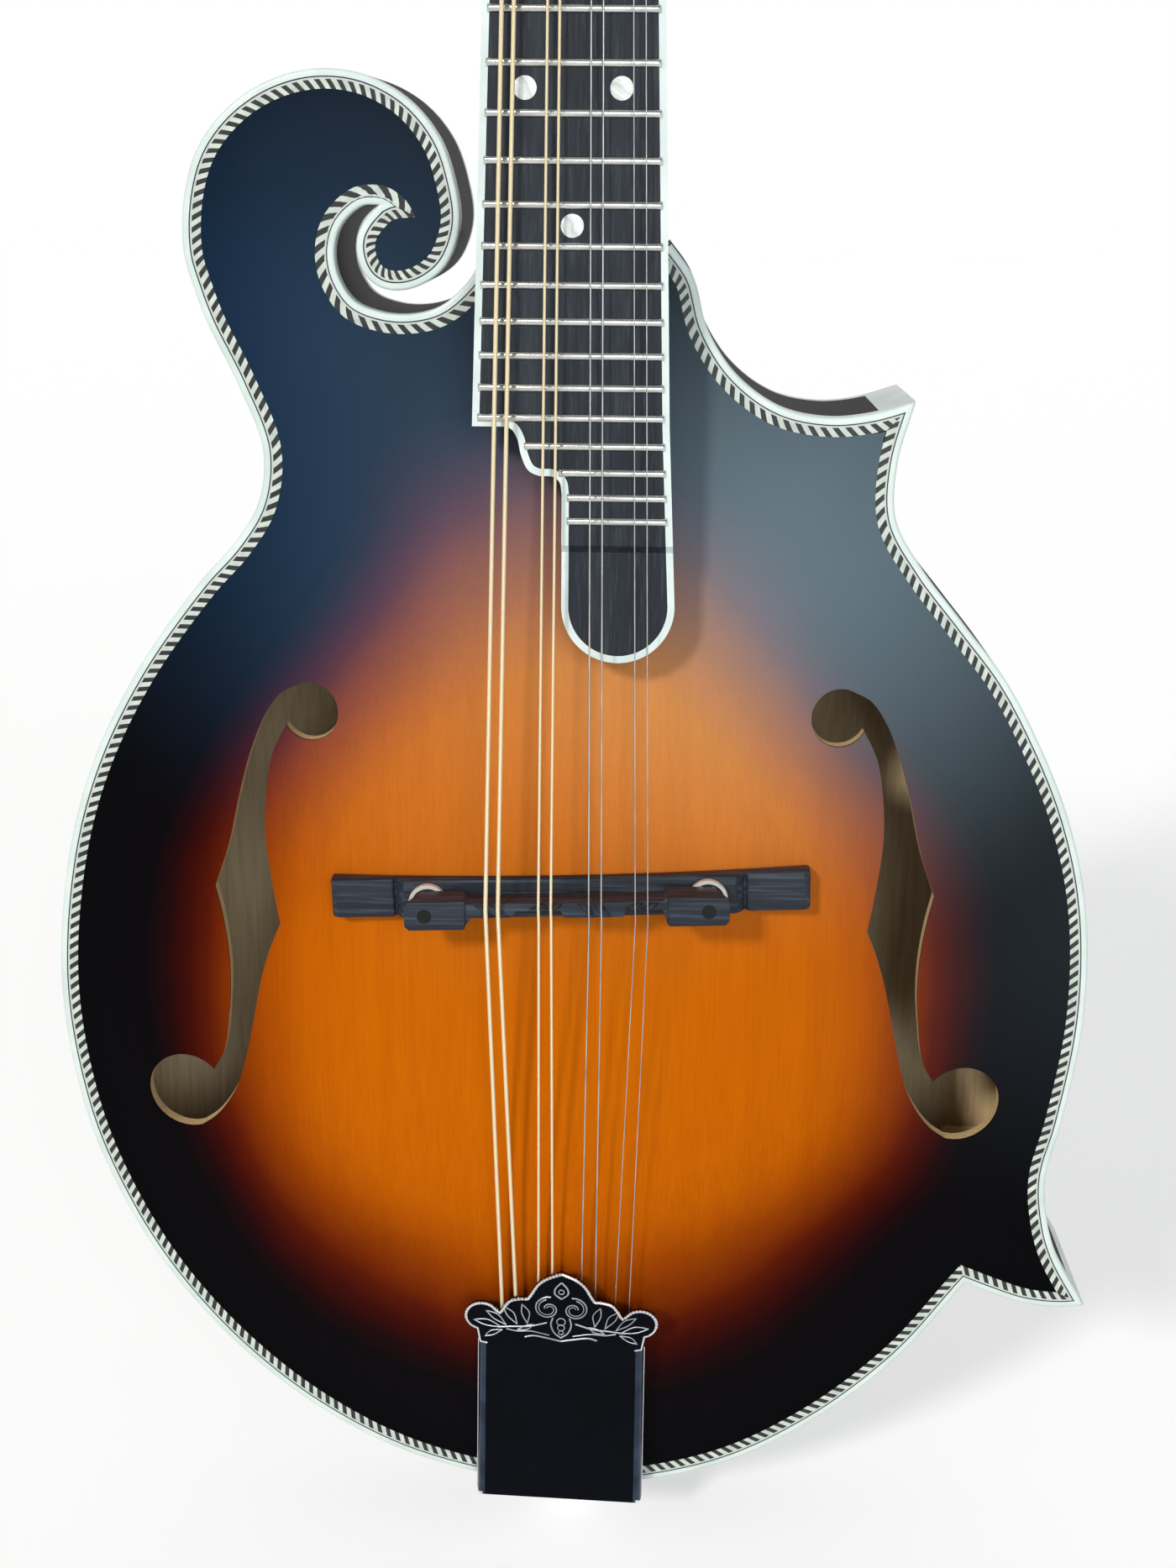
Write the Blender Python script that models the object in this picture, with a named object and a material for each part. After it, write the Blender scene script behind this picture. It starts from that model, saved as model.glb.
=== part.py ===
"""Carved f-style mandolin that hangs upright by its headstock.

Units are metres. +Z runs up the neck, the strings face -Y, and the body's scroll is on the bass side, -X.
The origin is on the centre line at the nut, in the plane of the body's front rim (y = 0).
Heights on the body are measured from the bridge line, where the scale length ends.
"""
import math

import bmesh
import bpy
import numpy as np
from mathutils import Matrix, Vector
from mathutils.geometry import delaunay_2d_cdt

# Clearances
GAP = 0.0003
RUNNING = 0.0003

# Strings and neck geometry
SCALE_LENGTH = 0.3524
NECK_PITCH = math.radians(3.9)
NUT_SETBACK = 0.0034
NUT_WIDTH = 0.0316
BOARD_WIDTH_12 = 0.0407
BOARD_THICKNESS = 0.0060
BOARD_BINDING = 0.0016
FRET_COUNT = 24
FRET_WIDTH = 0.0022
FRET_HEIGHT = 0.0010
FULL_FRETS = 20
STRING_AT_NUT = 0.0014
STRING_AT_SADDLE = 0.0040
COURSE_AT_NUT = (-0.0115, -0.0036, 0.0039, 0.0116)
COURSE_AT_SADDLE = (-0.0173, -0.0050, 0.0067, 0.0175)
PAIR_AT_NUT = 0.0024
PAIR_AT_SADDLE = 0.0029
STRING_GAUGES = (0.0010, 0.00066, 0.00041, 0.00028)

# Board end: the bass side stops after the full frets, the treble side runs on to a scooped tongue
EXTENSION_MARGIN = 0.0020
OGEE_LEFT = -0.0140
OGEE_RIGHT = -0.0096
TONGUE_LEFT = -0.0007
TONGUE_LENGTH = 0.0195
SCOOP_START = 0.0055
SCOOP_DEPTH = 0.0016

# Body
BODY_WIDTH = 0.2566
DRAWN_WIDTH = 0.2566
BODY_DEPTH = 0.0420
PLATE_EDGE = 0.0042
BINDING_WIDTH = 0.0016
RIB_THICKNESS = 0.0020
LINING_WIDTH = 0.0045
LINING_DEPTH = 0.0060
LINING_CORNER = 0.12
FRONT_ARCH = 0.0155
BACK_ARCH = 0.0130
ARCH_RIM = 0.0050
ARCH_REACH = 0.1100
ARCH_POWER = 1.35
BODY_JOINT = 0.1478
NECK_OPENING = 0.0220
GRID = 0.0175
BOUT_STEP = 0.0120
CURL_STEP = 0.0054
BLOCK_DEPTH = 0.0140
HEAD_BLOCK_WIDTH = 0.0560
HEAD_BLOCK_LENGTH = 0.0220
TAIL_BLOCK_WIDTH = 0.0600
TONE_BAR_WIDTH = 0.0060
TONE_BAR_DEPTH = 0.0110
TONE_BAR_TOP = (0.0190, 0.0900)
TONE_BAR_FOOT = (0.0460, -0.1200)

# Body outline, as (distance from the centre line, height above the bridge line).
# The scroll's slot runs from the neck round to a pointed tip, and the curl comes back inside it.
SLOT_EDGE = ((-0.0220, 0.1478), (-0.0226, 0.1421), (-0.0259, 0.1376), (-0.0314, 0.1334), (-0.0381, 0.1318),
             (-0.0447, 0.1323), (-0.0505, 0.1347), (-0.0540, 0.1400), (-0.0549, 0.1456), (-0.0536, 0.1508),
             (-0.0510, 0.1539), (-0.0446, 0.1560))
CURL_EDGE = ((-0.0446, 0.1560), (-0.0476, 0.1528), (-0.0494, 0.1497), (-0.0499, 0.1462), (-0.0488, 0.1419),
             (-0.0467, 0.1391), (-0.0435, 0.1374), (-0.0391, 0.1372), (-0.0344, 0.1387), (-0.0299, 0.1422),
             (-0.0272, 0.1472), (-0.0260, 0.1530))
SCROLL_EDGE = ((-0.0260, 0.1530), (-0.0268, 0.1599), (-0.0303, 0.1705), (-0.0375, 0.1791), (-0.0476, 0.1843),
               (-0.0587, 0.1853), (-0.0693, 0.1825), (-0.0785, 0.1766), (-0.0854, 0.1681), (-0.0889, 0.1575),
               (-0.0895, 0.1452))
BASS_SIDE = ((-0.0895, 0.1452), (-0.0875, 0.1373), (-0.0848, 0.1296), (-0.0780, 0.1152), (-0.0728, 0.1003),
             (-0.0743, 0.0880), (-0.0801, 0.0785), (-0.0891, 0.0686), (-0.1050, 0.0470), (-0.1171, 0.0238),
             (-0.1246, -0.0009), (-0.1283, -0.0346), (-0.1248, -0.0657), (-0.1181, -0.0875),
             (-0.1058, -0.1120), (-0.0870, -0.1360), (-0.0640, -0.1555), (-0.0377, -0.1689), (0.0, -0.1759))
TREBLE_TAIL = ((0.0, -0.1759), (0.0377, -0.1696), (0.0640, -0.1554), (0.0865, -0.1353), (0.1030, -0.1132))
LOWER_POINT = ((0.1030, -0.1132), (0.1080, -0.1152), (0.1180, -0.1186), (0.1270, -0.1196), (0.1342, -0.1190))
TREBLE_WAIST = ((0.1342, -0.1190), (0.1259, -0.1041), (0.1229, -0.0939), (0.1219, -0.0825), (0.1249, -0.0676),
                (0.1283, -0.0420), (0.1281, -0.0203), (0.1254, -0.0020), (0.1201, 0.0155), (0.1127, 0.0318),
                (0.1039, 0.0472), (0.0932, 0.0607), (0.0824, 0.0742), (0.0758, 0.0856), (0.0755, 0.0986),
                (0.0791, 0.1132))
TREBLE_SHOULDER = ((0.0791, 0.1132), (0.0689, 0.1102), (0.0589, 0.1093), (0.0478, 0.1116), (0.0375, 0.1189),
                   (0.0306, 0.1292), (0.0272, 0.1406), (NECK_OPENING, BODY_JOINT))

# F-hole on the treble side; the bass one is its mirror image, and both are shifted to the treble side
F_SHIFT = 0.0008
F_UPPER_EYE = (0.0632, 0.0391)
F_UPPER_RADIUS = 0.0069
F_LOWER_EYE = (0.0975, -0.0610)
F_LOWER_RADIUS = 0.0100
F_OUTER_TOP = ((0.0666, 0.0451), (0.0706, 0.0429), (0.0747, 0.0371), (0.0784, 0.0280), (0.0812, 0.0180),
               (0.0842, 0.0052), (0.0879, -0.0056))
F_OUTER_FOOT = ((0.0879, -0.0056), (0.0862, -0.0130), (0.0850, -0.0220), (0.0848, -0.0300), (0.0855, -0.0385),
                (0.0873, -0.0490), (0.0901, -0.0543))
F_INNER_FOOT = ((0.0941, -0.0704), (0.0905, -0.0676), (0.0874, -0.0638), (0.0843, -0.0583), (0.0821, -0.0520),
                (0.0796, -0.0417), (0.0768, -0.0287), (0.0745, -0.0210), (0.0715, -0.0136))
F_INNER_TOP = ((0.0715, -0.0136), (0.0729, -0.0060), (0.0746, 0.0065), (0.0748, 0.0124), (0.0739, 0.0226),
               (0.0724, 0.0292), (0.0691, 0.0356))

# Neck and headstock
NECK_DEPTH_NUT = 0.0195
NECK_DEPTH_12 = 0.0225
HEEL_LENGTH = 0.0400
HEAD_PITCH = math.radians(14.0)
HEAD_DROP = 0.0030
HEAD_THICKNESS = 0.0130
VENEER_THICKNESS = 0.0020
NUT_THICKNESS = 0.0050
TENON_WIDTH = 0.0240
TENON_LENGTH = 0.0140
RISER_INSET = 0.0040
RISER_CLEARANCE = 0.0010

# Headstock outline in its own plane, from the nut upwards
HEAD_BASS = ((-0.0158, 0.0), (-0.0170, 0.0055), (-0.0225, 0.0130), (-0.0290, 0.0200))
HEAD_BASS_SIDE = ((-0.0290, 0.0200), (-0.0302, 0.0400), (-0.0312, 0.0800), (-0.0340, 0.1030),
                  (-0.0410, 0.1170))
HEAD_BASS_TOP = ((-0.0410, 0.1170), (-0.0345, 0.1205), (-0.0315, 0.1290), (-0.0322, 0.1400))
HEAD_SCROLL_CENTRE = (-0.0170, 0.1430)
HEAD_SCROLL_RADIUS = 0.0155
HEAD_HORN_CENTRE = (0.0195, 0.1290)
HEAD_HORN_RADIUS = 0.0105
HEAD_VALLEY = ((-0.0100, 0.1291), (-0.0020, 0.1235), (0.0060, 0.1245), (0.0095, 0.1258))
HEAD_TREBLE_TOP = ((0.0285, 0.1238), (0.0300, 0.1180), (0.0390, 0.1120))
HEAD_TREBLE_SIDE = ((0.0390, 0.1120), (0.0335, 0.1010), (0.0312, 0.0800), (0.0302, 0.0400), (0.0290, 0.0200))
HEAD_TREBLE = ((0.0290, 0.0200), (0.0225, 0.0130), (0.0170, 0.0055), (0.0158, 0.0))

# Truss rod
ROD_RADIUS = 0.0022
ROD_DEPTH = 0.0105
ROD_END = 0.1900
ROD_NUT_RADIUS = 0.0038
ROD_NUT_LENGTH = 0.0080
ROD_NUT_TOP = 0.0175
COVER_PLATE = 0.0015

# Tuning machines
POST_SPACING = 0.0230
FIRST_POST = 0.0260
POST_OFFSET = 0.0195
POST_RADIUS = 0.0030
POST_STANDS = 0.0080
TUNER_PLATE = 0.0009
TUNER_PLATE_WIDTH = 0.0150
TUNER_PLATE_BELOW = 0.0125
TUNER_PLATE_ABOVE = 0.0075
TUNER_PLATE_CORNER = 0.0020
WHEEL_TEETH = 12
WHEEL_RADIUS = 0.0046
WHEEL_TOOTH = 0.0008
WHEEL_THICKNESS = 0.0040
WORM_RADIUS = 0.0019
WORM_LENGTH = 0.0084
SHAFT_END = 0.0014
SHAFT_RADIUS = 0.0013
BUTTON_LENGTH = 0.0115
BUTTON_HALF_WIDTH = 0.0068
BUTTON_HALF_DEPTH = 0.0034
BUTTON_CLEARANCE = 0.0045

# Bridge
BRIDGE_SHIFT = -0.0025
BRIDGE_SKEW = math.radians(2.0)
BASE_LENGTH = 0.1147
BASE_SHIFT = 0.0004
BASE_WIDTH = 0.0096
FOOT_LENGTH = 0.0150
FOOT_HEIGHT = 0.0060
BASE_TOP = 0.0192
SADDLE_LENGTH = 0.0760
SADDLE_PAD_WIDTH = 0.0070
SADDLE_HEIGHT = 0.0084
SADDLE_TAPER = 0.0022
BASE_CLEARANCE = 0.0002
POST_SPREAD = 0.0332
BRIDGE_POST_RADIUS = 0.0018
POST_SEAT = 0.0012
POST_RECESS = 0.0026
THUMBWHEEL_RADIUS = 0.0052
THUMBWHEEL_THICKNESS = 0.0022
THUMBWHEEL_FLATS = 18

# Tailpiece
TAILPIECE_X = -0.0021
TAILPIECE_PITCH = math.radians(10.0)
TAILPIECE_LEAN = math.radians(1.1)
TAILPIECE_ROLL = math.radians(1.9)
COVER_WIDTH = 0.0438
COVER_WIDTH_TOP = 0.0426
COVER_TAIL = -0.1766
COVER_TAIL_Y = -0.0052
COVER_LENGTH = 0.0515
COVER_DEPTH = 0.0046
COVER_SHEET = 0.0009
COVER_LIP = 0.0026
EAR_CENTRE = (0.0202, 0.0603)
EAR_RADIUS = 0.0044
CREST_STEP = ((0.0156, 0.0620), (0.0147, 0.0636), (0.0131, 0.0658), (0.0100, 0.0667), (0.0087, 0.0667))
CREST_DOME = ((0.0087, 0.0667), (0.0079, 0.0680), (0.0061, 0.0713), (0.0039, 0.0733), (0.0, 0.0752))
BASE_SHEET = 0.0012
BASE_SETBACK = 0.0034
BASE_FOOT = -0.0009
LEG_LENGTH = 0.0300
LEG_WIDTH = 0.0260
HOOK_PLACE = 0.0450
HOOK_COURSES = (-0.0128, -0.0040, 0.0067, 0.0150)
HOOK_PAIR = 0.0037
END_PIN_X = 0.0
END_PIN_Y = 0.0190
END_PIN_RADIUS = 0.0066
END_PIN_SHANK = 0.0030
END_PIN_LENGTH = 0.0120

# Derived places
BRIDGE_Z = -SCALE_LENGTH * math.cos(NECK_PITCH)
JOINT_Z = BRIDGE_Z + BODY_JOINT
WIDTH_FACTOR = BODY_WIDTH / DRAWN_WIDTH
HOOK_HEIGHT = BASE_SETBACK - COVER_SHEET - GAP
RIB_FRONT = PLATE_EDGE + GAP
RIB_BACK = BODY_DEPTH - PLATE_EDGE - GAP
HEAD_BACK = VENEER_THICKNESS + GAP + HEAD_THICKNESS
PLATE_FRONT = HEAD_BACK + GAP
PLATE_BACK = PLATE_FRONT + TUNER_PLATE
BOARD_FRAME = Matrix.Translation((0, -NUT_SETBACK, 0)) @ Matrix.Rotation(-NECK_PITCH, 4, "X")
HEAD_FRAME = (BOARD_FRAME @ Matrix.Translation((0, HEAD_DROP, NUT_THICKNESS))
              @ Matrix.Rotation(-HEAD_PITCH, 4, "X"))
BRIDGE_FRAME = Matrix.Translation((0, 0, BRIDGE_Z + BRIDGE_SHIFT)) @ Matrix.Rotation(-BRIDGE_SKEW, 4, "Y")
TAIL_FRAME = (Matrix.Translation((TAILPIECE_X, COVER_TAIL_Y, BRIDGE_Z + COVER_TAIL))
              @ Matrix.Rotation(TAILPIECE_LEAN, 4, "Y") @ Matrix.Rotation(-TAILPIECE_ROLL, 4, "Z")
              @ Matrix.Rotation(TAILPIECE_PITCH, 4, "X"))


def clear_scene():
    """Start from an empty file."""
    for item in list(bpy.data.objects):
        bpy.data.objects.remove(item, do_unlink=True)


def finish(name, colour, roughness, metallic=0.0):
    """A plain surface finish."""
    material = bpy.data.materials.new(name)
    material.use_nodes = True
    shader = material.node_tree.nodes["Principled BSDF"]
    shader.inputs["Base Color"].default_value = (*colour, 1.0)
    shader.inputs["Roughness"].default_value = roughness
    shader.inputs["Metallic"].default_value = metallic
    material.diffuse_color = (*colour, 1.0)
    return material


def add_object(name, bm, material, frame=None, smooth=None):
    """Turn a bmesh into a named object with outward faces."""
    bmesh.ops.recalc_face_normals(bm, faces=bm.faces)
    mesh = bpy.data.meshes.new(name)
    bm.to_mesh(mesh)
    bm.free()
    if smooth is not None:
        mesh.shade_smooth()
        mesh.set_sharp_from_angle(angle=math.radians(smooth))
    item = bpy.data.objects.new(name, mesh)
    bpy.context.collection.objects.link(item)
    if frame is not None:
        item.matrix_world = frame
    if material is not None:
        mesh.materials.append(material)
    return item


def hide_cutter(item):
    """Keep a cutter out of renders."""
    item.hide_render = True
    item.display_type = "WIRE"
    return item


def combine(item, other, operation):
    """Cut, join or intersect an object with another one."""
    hide_cutter(other)
    modifier = item.modifiers.new(other.name, "BOOLEAN")
    modifier.operation = operation
    modifier.solver = "EXACT"
    modifier.object = other
    return item


def prism(name, outline, front, back, material=None, frame=None, smooth=None):
    """A flat outline of (x, z) points, extruded from y = front to y = back."""
    bm = bmesh.new()
    face = bm.faces.new([bm.verts.new((x, front, z)) for x, z in outline])
    extruded = bmesh.ops.extrude_face_region(bm, geom=[face])
    moved = [v for v in extruded["geom"] if isinstance(v, bmesh.types.BMVert)]
    bmesh.ops.translate(bm, verts=moved, vec=(0, back - front, 0))
    return add_object(name, bm, material, frame, smooth)


def side_prism(name, profile, half_width, material=None, frame=None):
    """A side profile of (y, z) points, extruded across x."""
    bm = bmesh.new()
    face = bm.faces.new([bm.verts.new((-half_width, y, z)) for y, z in profile])
    extruded = bmesh.ops.extrude_face_region(bm, geom=[face])
    moved = [v for v in extruded["geom"] if isinstance(v, bmesh.types.BMVert)]
    bmesh.ops.translate(bm, verts=moved, vec=(2 * half_width, 0, 0))
    return add_object(name, bm, material, frame)


def front_prism(name, outline, low, high, material=None, frame=None):
    """A front profile of (x, y) points, extruded from z = low to z = high."""
    bm = bmesh.new()
    face = bm.faces.new([bm.verts.new((x, y, low)) for x, y in outline])
    extruded = bmesh.ops.extrude_face_region(bm, geom=[face])
    moved = [v for v in extruded["geom"] if isinstance(v, bmesh.types.BMVert)]
    bmesh.ops.translate(bm, verts=moved, vec=(0, 0, high - low))
    return add_object(name, bm, material, frame)


def block(name, low, high, material=None, frame=None):
    """A rectangular block between two corners."""
    outline = ((low[0], low[2]), (high[0], low[2]), (high[0], high[2]), (low[0], high[2]))
    return prism(name, outline, low[1], high[1], material, frame)


def loft(name, sections, material=None, frame=None, smooth=None):
    """A skin over closed sections that have the same number of points."""
    bm = bmesh.new()
    rings = [[bm.verts.new(point) for point in section] for section in sections]
    count = len(rings[0])
    for ring, following in zip(rings, rings[1:]):
        for i in range(count):
            j = (i + 1) % count
            bm.faces.new((ring[i], ring[j], following[j], following[i]))
    bm.faces.new(rings[0])
    bm.faces.new(reversed(rings[-1]))
    return add_object(name, bm, material, frame, smooth)


def ring_y(x, y, z, radius, sides, phase=0.0):
    """Points of a circle round the y direction."""
    angles = [2 * math.pi * i / sides + phase for i in range(sides)]
    return [(x + radius * math.cos(a), y, z + radius * math.sin(a)) for a in angles]


def ring_x(x, y, z, half_depth, half_height, sides):
    """Points of an ellipse round the x direction."""
    angles = [2 * math.pi * (i + 0.5) / sides for i in range(sides)]
    return [(x, y + half_depth * math.cos(a), z + half_height * math.sin(a)) for a in angles]


def turned(name, centre, stations, sides, material=None, frame=None, smooth=None):
    """A turned piece on a y axis through (x, z), with (y, radius) stations."""
    sections = [ring_y(centre[0], y, centre[1], radius, sides) for y, radius in stations]
    return loft(name, sections, material, frame, smooth)


def arc(centre, radius, start, end, step, end_radius=None):
    """Points about step apart on an arc, in degrees; a second radius makes it a spiral."""
    last = radius if end_radius is None else end_radius
    length = math.radians(abs(end - start)) * (radius + last) / 2
    count = max(2, round(length / step))
    points = []
    for i in range(count + 1):
        t = i / count
        angle = math.radians(start + (end - start) * t)
        r = radius + (last - radius) * t
        points.append((centre[0] + r * math.cos(angle), centre[1] + r * math.sin(angle)))
    return points


def resample(points, step):
    """Points evenly spaced, about step apart, along a polyline."""
    points = np.array(points)
    lengths = np.hypot(*np.diff(points, axis=0).T)
    travel = np.concatenate(([0.0], np.cumsum(lengths)))
    count = max(1, round(travel[-1] / step))
    stops = np.linspace(0.0, travel[-1], count + 1)
    return list(zip(np.interp(stops, travel, points[:, 0]), np.interp(stops, travel, points[:, 1])))


def smooth_curve(knots, pieces=12):
    """A smooth curve through the knots, with a fixed number of pieces between each two."""
    p = [Vector(k) for k in knots]
    p = [2 * p[0] - p[1]] + p + [2 * p[-1] - p[-2]]
    dense = []
    for p0, p1, p2, p3 in zip(p, p[1:], p[2:], p[3:]):
        a = (p1 - p0).length ** 0.5
        b = (p2 - p1).length ** 0.5
        c = (p3 - p2).length ** 0.5
        m1 = (p1 - p0) / a - (p2 - p0) / (a + b) + (p2 - p1) / b
        m2 = (p2 - p1) / b - (p3 - p1) / (b + c) + (p3 - p2) / c
        for i in range(pieces):
            t = i / pieces
            near = (1 + 2 * t) * (1 - t) ** 2 * p1 + t * (1 - t) ** 2 * b * m1
            far = t ** 2 * (3 - 2 * t) * p2 + t ** 2 * (t - 1) * b * m2
            dense.append(tuple(near + far))
    dense.append(tuple(p[-2]))
    return dense


def spline(knots, step):
    """Points about step apart on a smooth curve through the knots."""
    return resample(smooth_curve(knots), step)


def spline_runs(runs, steps, pieces=12):
    """One smooth curve through several runs of knots, given back as a list of points for each run."""
    knots = list(runs[0])
    for run in runs[1:]:
        knots += run[1:]
    dense = smooth_curve(knots, pieces)
    stretches = []
    first = 0
    for run, step in zip(runs, steps):
        last = first + pieces * (len(run) - 1)
        stretches.append(resample(dense[first:last + 1], step))
        first = last
    return stretches


def offset(points, distance, closed=True, limit=3.0):
    """The points moved to the left of their travel, with mitred corners."""
    count = len(points)
    p = [Vector(point) for point in points]
    moved = []
    for i in range(count):
        before = p[i] - p[i - 1] if (closed or i > 0) else p[1] - p[0]
        after = p[(i + 1) % count] - p[i] if (closed or i < count - 1) else before
        n0 = Vector((-before.y, before.x)).normalized()
        n1 = Vector((-after.y, after.x)).normalized()
        mitre = n0 + n1
        scale = min(2.0 / max(mitre.length_squared, 1e-9), limit / max(mitre.length, 1e-9))
        moved.append(tuple(p[i] + mitre * scale * distance))
    return moved


def strip(edge, width, start=0.0, closed=False):
    """A closed outline of constant width along an open edge, on its left side."""
    return offset(edge, start, closed) + offset(edge, start + width, closed)[::-1]


def mirrored(points):
    """The same points on the other side of the centre line, in the same travel direction."""
    return [(-x, z) for x, z in reversed(points)]


def body_points(points):
    """Drawn body points, stretched to the body's width and placed under the bridge line."""
    return [(x * WIDTH_FACTOR, BRIDGE_Z + height) for x, height in points]


def body_stretches(bout_step, curl_step):
    """The body's outline, run anticlockwise from the neck's bass side, in stretches between corners."""
    slot = spline(SLOT_EDGE, curl_step)
    curl, scroll, bass, tail = spline_runs((CURL_EDGE, SCROLL_EDGE, BASS_SIDE, TREBLE_TAIL),
                                           (curl_step, curl_step * 1.6, bout_step, bout_step))
    stretches = [slot, curl + scroll[1:], bass, tail, spline(LOWER_POINT, bout_step),
                 spline(TREBLE_WAIST, bout_step), spline(TREBLE_SHOULDER, bout_step * 0.8)]
    return [body_points(stretch) for stretch in stretches]


def joined(stretches):
    """One list of points from stretches that share their end points."""
    points = list(stretches[0])
    for stretch in stretches[1:]:
        skip = 1 if math.dist(points[-1], stretch[0]) < 0.0005 else 0
        points += stretch[skip:]
    return points


def wall_distance(x, z, wall, weights):
    """A smooth distance from each point to the outline, equal to the true one beside a straight wall."""
    squared = (x[:, None] - wall[:, 0]) ** 2 + (z[:, None] - wall[:, 1]) ** 2 + 1e-12
    return (np.sum(weights / squared ** 2, axis=1) * 2 / math.pi) ** (-1 / 3)


def arch_function():
    """A function that gives the share of the full arch height at body points."""
    edge = joined(body_stretches(0.0020, 0.0020))
    edge.append(edge[0])
    fine = np.array(resample(edge, 0.0020))
    weights = np.hypot(*np.diff(fine, axis=0).T)
    wall = (fine[1:] + fine[:-1]) / 2

    def rise(x, z):
        distance = wall_distance(x, z, wall, weights)
        share = np.clip((distance - ARCH_RIM) / ARCH_REACH, 0.0, 1.0)
        return np.sin(share * math.pi / 2) ** ARCH_POWER

    crown = rise(np.zeros(1), np.full(1, BRIDGE_Z))[0]

    def share_of_arch(x, z):
        return rise(np.atleast_1d(np.asarray(x, float)), np.atleast_1d(np.asarray(z, float))) / crown

    return share_of_arch


def inside(points, polygon):
    """Which of the points lie inside a closed polygon."""
    result = np.zeros(len(points), bool)
    for (x0, z0), (x1, z1) in zip(polygon, polygon[1:] + polygon[:1]):
        if z0 == z1:
            continue
        crosses = (points[:, 1] > min(z0, z1)) & (points[:, 1] <= max(z0, z1))
        at = x0 + (points[:, 1] - z0) / (z1 - z0) * (x1 - x0)
        result ^= crosses & (points[:, 0] < at)
    return result


def edge_clearance(points, polygon):
    """The least distance from each point to a polygon's corners."""
    corners = np.array(polygon)
    return np.hypot(points[:, None, 0] - corners[:, 0], points[:, None, 1] - corners[:, 1]).min(axis=1)


def carved_plate(name, outline, holes, spacing, outer, inner, material):
    """A plate between two carved surfaces, each a function of body points that gives y."""
    x0, z0 = np.min(outline, axis=0)
    x1, z1 = np.max(outline, axis=0)
    rows = [(x + (spacing / 2 if row % 2 else 0.0), z)
            for row, z in enumerate(np.arange(z0, z1, spacing * 0.866))
            for x in np.arange(x0, x1, spacing)]
    rows = np.array(rows)
    keep = inside(rows, outline) & (edge_clearance(rows, outline) > spacing * 0.55)
    for hole in holes:
        keep &= ~inside(rows, hole) & (edge_clearance(rows, hole) > spacing * 0.4)
    points = [Vector(p) for p in outline]
    edges = [(i, (i + 1) % len(outline)) for i in range(len(outline))]
    for hole in holes:
        first = len(points)
        points += [Vector(p) for p in hole]
        edges += [(first + i, first + (i + 1) % len(hole)) for i in range(len(hole))]
    points += [Vector(p) for p in rows[keep]]
    corners, _, faces, _, _, _ = delaunay_2d_cdt(points, edges, [], 0, 1e-7)
    flat = np.array([tuple(c) for c in corners])
    middles = np.array([flat[list(face)].mean(axis=0) for face in faces])
    solid = inside(middles, outline)
    for hole in holes:
        solid &= ~inside(middles, hole)
    bm = bmesh.new()
    verts = [bm.verts.new((x, y, z)) for (x, z), y in zip(flat, outer(flat[:, 0], flat[:, 1]))]
    for face, kept in zip(faces, solid):
        if kept:
            bm.faces.new([verts[i] for i in face])
    bmesh.ops.delete(bm, geom=[v for v in bm.verts if not v.link_faces], context="VERTS")
    extruded = bmesh.ops.extrude_face_region(bm, geom=bm.faces[:])
    under = [v for v in extruded["geom"] if isinstance(v, bmesh.types.BMVert)]
    depths = inner(np.array([v.co.x for v in under]), np.array([v.co.z for v in under]))
    for vert, y in zip(under, depths):
        vert.co.y = y
    return add_object(name, bm, material, smooth=40)


def f_hole():
    """The treble f-hole's outline, as drawn before the shift."""
    upper = arc(F_UPPER_EYE, F_UPPER_RADIUS, -31, -300, 0.0042)
    lower = arc(F_LOWER_EYE, F_LOWER_RADIUS, 138, -110, 0.0045)
    stretches = [upper, spline(F_OUTER_TOP, 0.0080), spline(F_OUTER_FOOT, 0.0080), lower,
                 spline(F_INNER_FOOT, 0.0080), spline(F_INNER_TOP, 0.0080)]
    return body_points(joined(stretches))


def shifted(points):
    """An f-hole's outline at its real place."""
    return [(x + F_SHIFT, z) for x, z in points]


def board_half_width(down):
    """Half the fretboard's width at a distance down from the nut."""
    widening = (BOARD_WIDTH_12 - NUT_WIDTH) / fret_place(12)
    return (NUT_WIDTH + widening * down) / 2


def fret_place(number):
    """The distance from the nut to a fret, by the twelfth root of two."""
    return SCALE_LENGTH * (1 - 2 ** (-number / 12))


def board_y(z):
    """The y of the board's playing plane at a height z."""
    return -NUT_SETBACK + z * math.tan(NECK_PITCH)


def board_edge():
    """The board's outer edge in its own plane, from the nut's bass side round to its treble side."""
    shoulder = fret_place(FULL_FRETS) + EXTENSION_MARGIN
    middle = fret_place(FULL_FRETS + 2)
    tongue = fret_place(FULL_FRETS + 3)
    tip = fret_place(FRET_COUNT) + TONGUE_LENGTH
    tongue_right = board_half_width(tip)
    radius = (tongue_right - TONGUE_LEFT) / 2
    centre = ((tongue_right + TONGUE_LEFT) / 2, -tip)
    edge = [(-board_half_width(0), 0.0), (-board_half_width(shoulder), -shoulder), (OGEE_LEFT, -shoulder)]
    edge += spline(((OGEE_LEFT, -shoulder), ((OGEE_LEFT + OGEE_RIGHT) / 2 + 0.0004, -shoulder - 0.0030),
                    (OGEE_RIGHT, -middle)), 0.0035)[1:]
    edge += [(OGEE_RIGHT + 0.0020, -middle - 0.0006), (TONGUE_LEFT - 0.0022, -middle - 0.0012)]
    edge += spline(((TONGUE_LEFT - 0.0022, -middle - 0.0012), (TONGUE_LEFT, -tongue)), 0.0030)[1:]
    edge += arc(centre, radius, 180, 360, 0.0045)
    edge.append((board_half_width(0), 0.0))
    return edge


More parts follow.
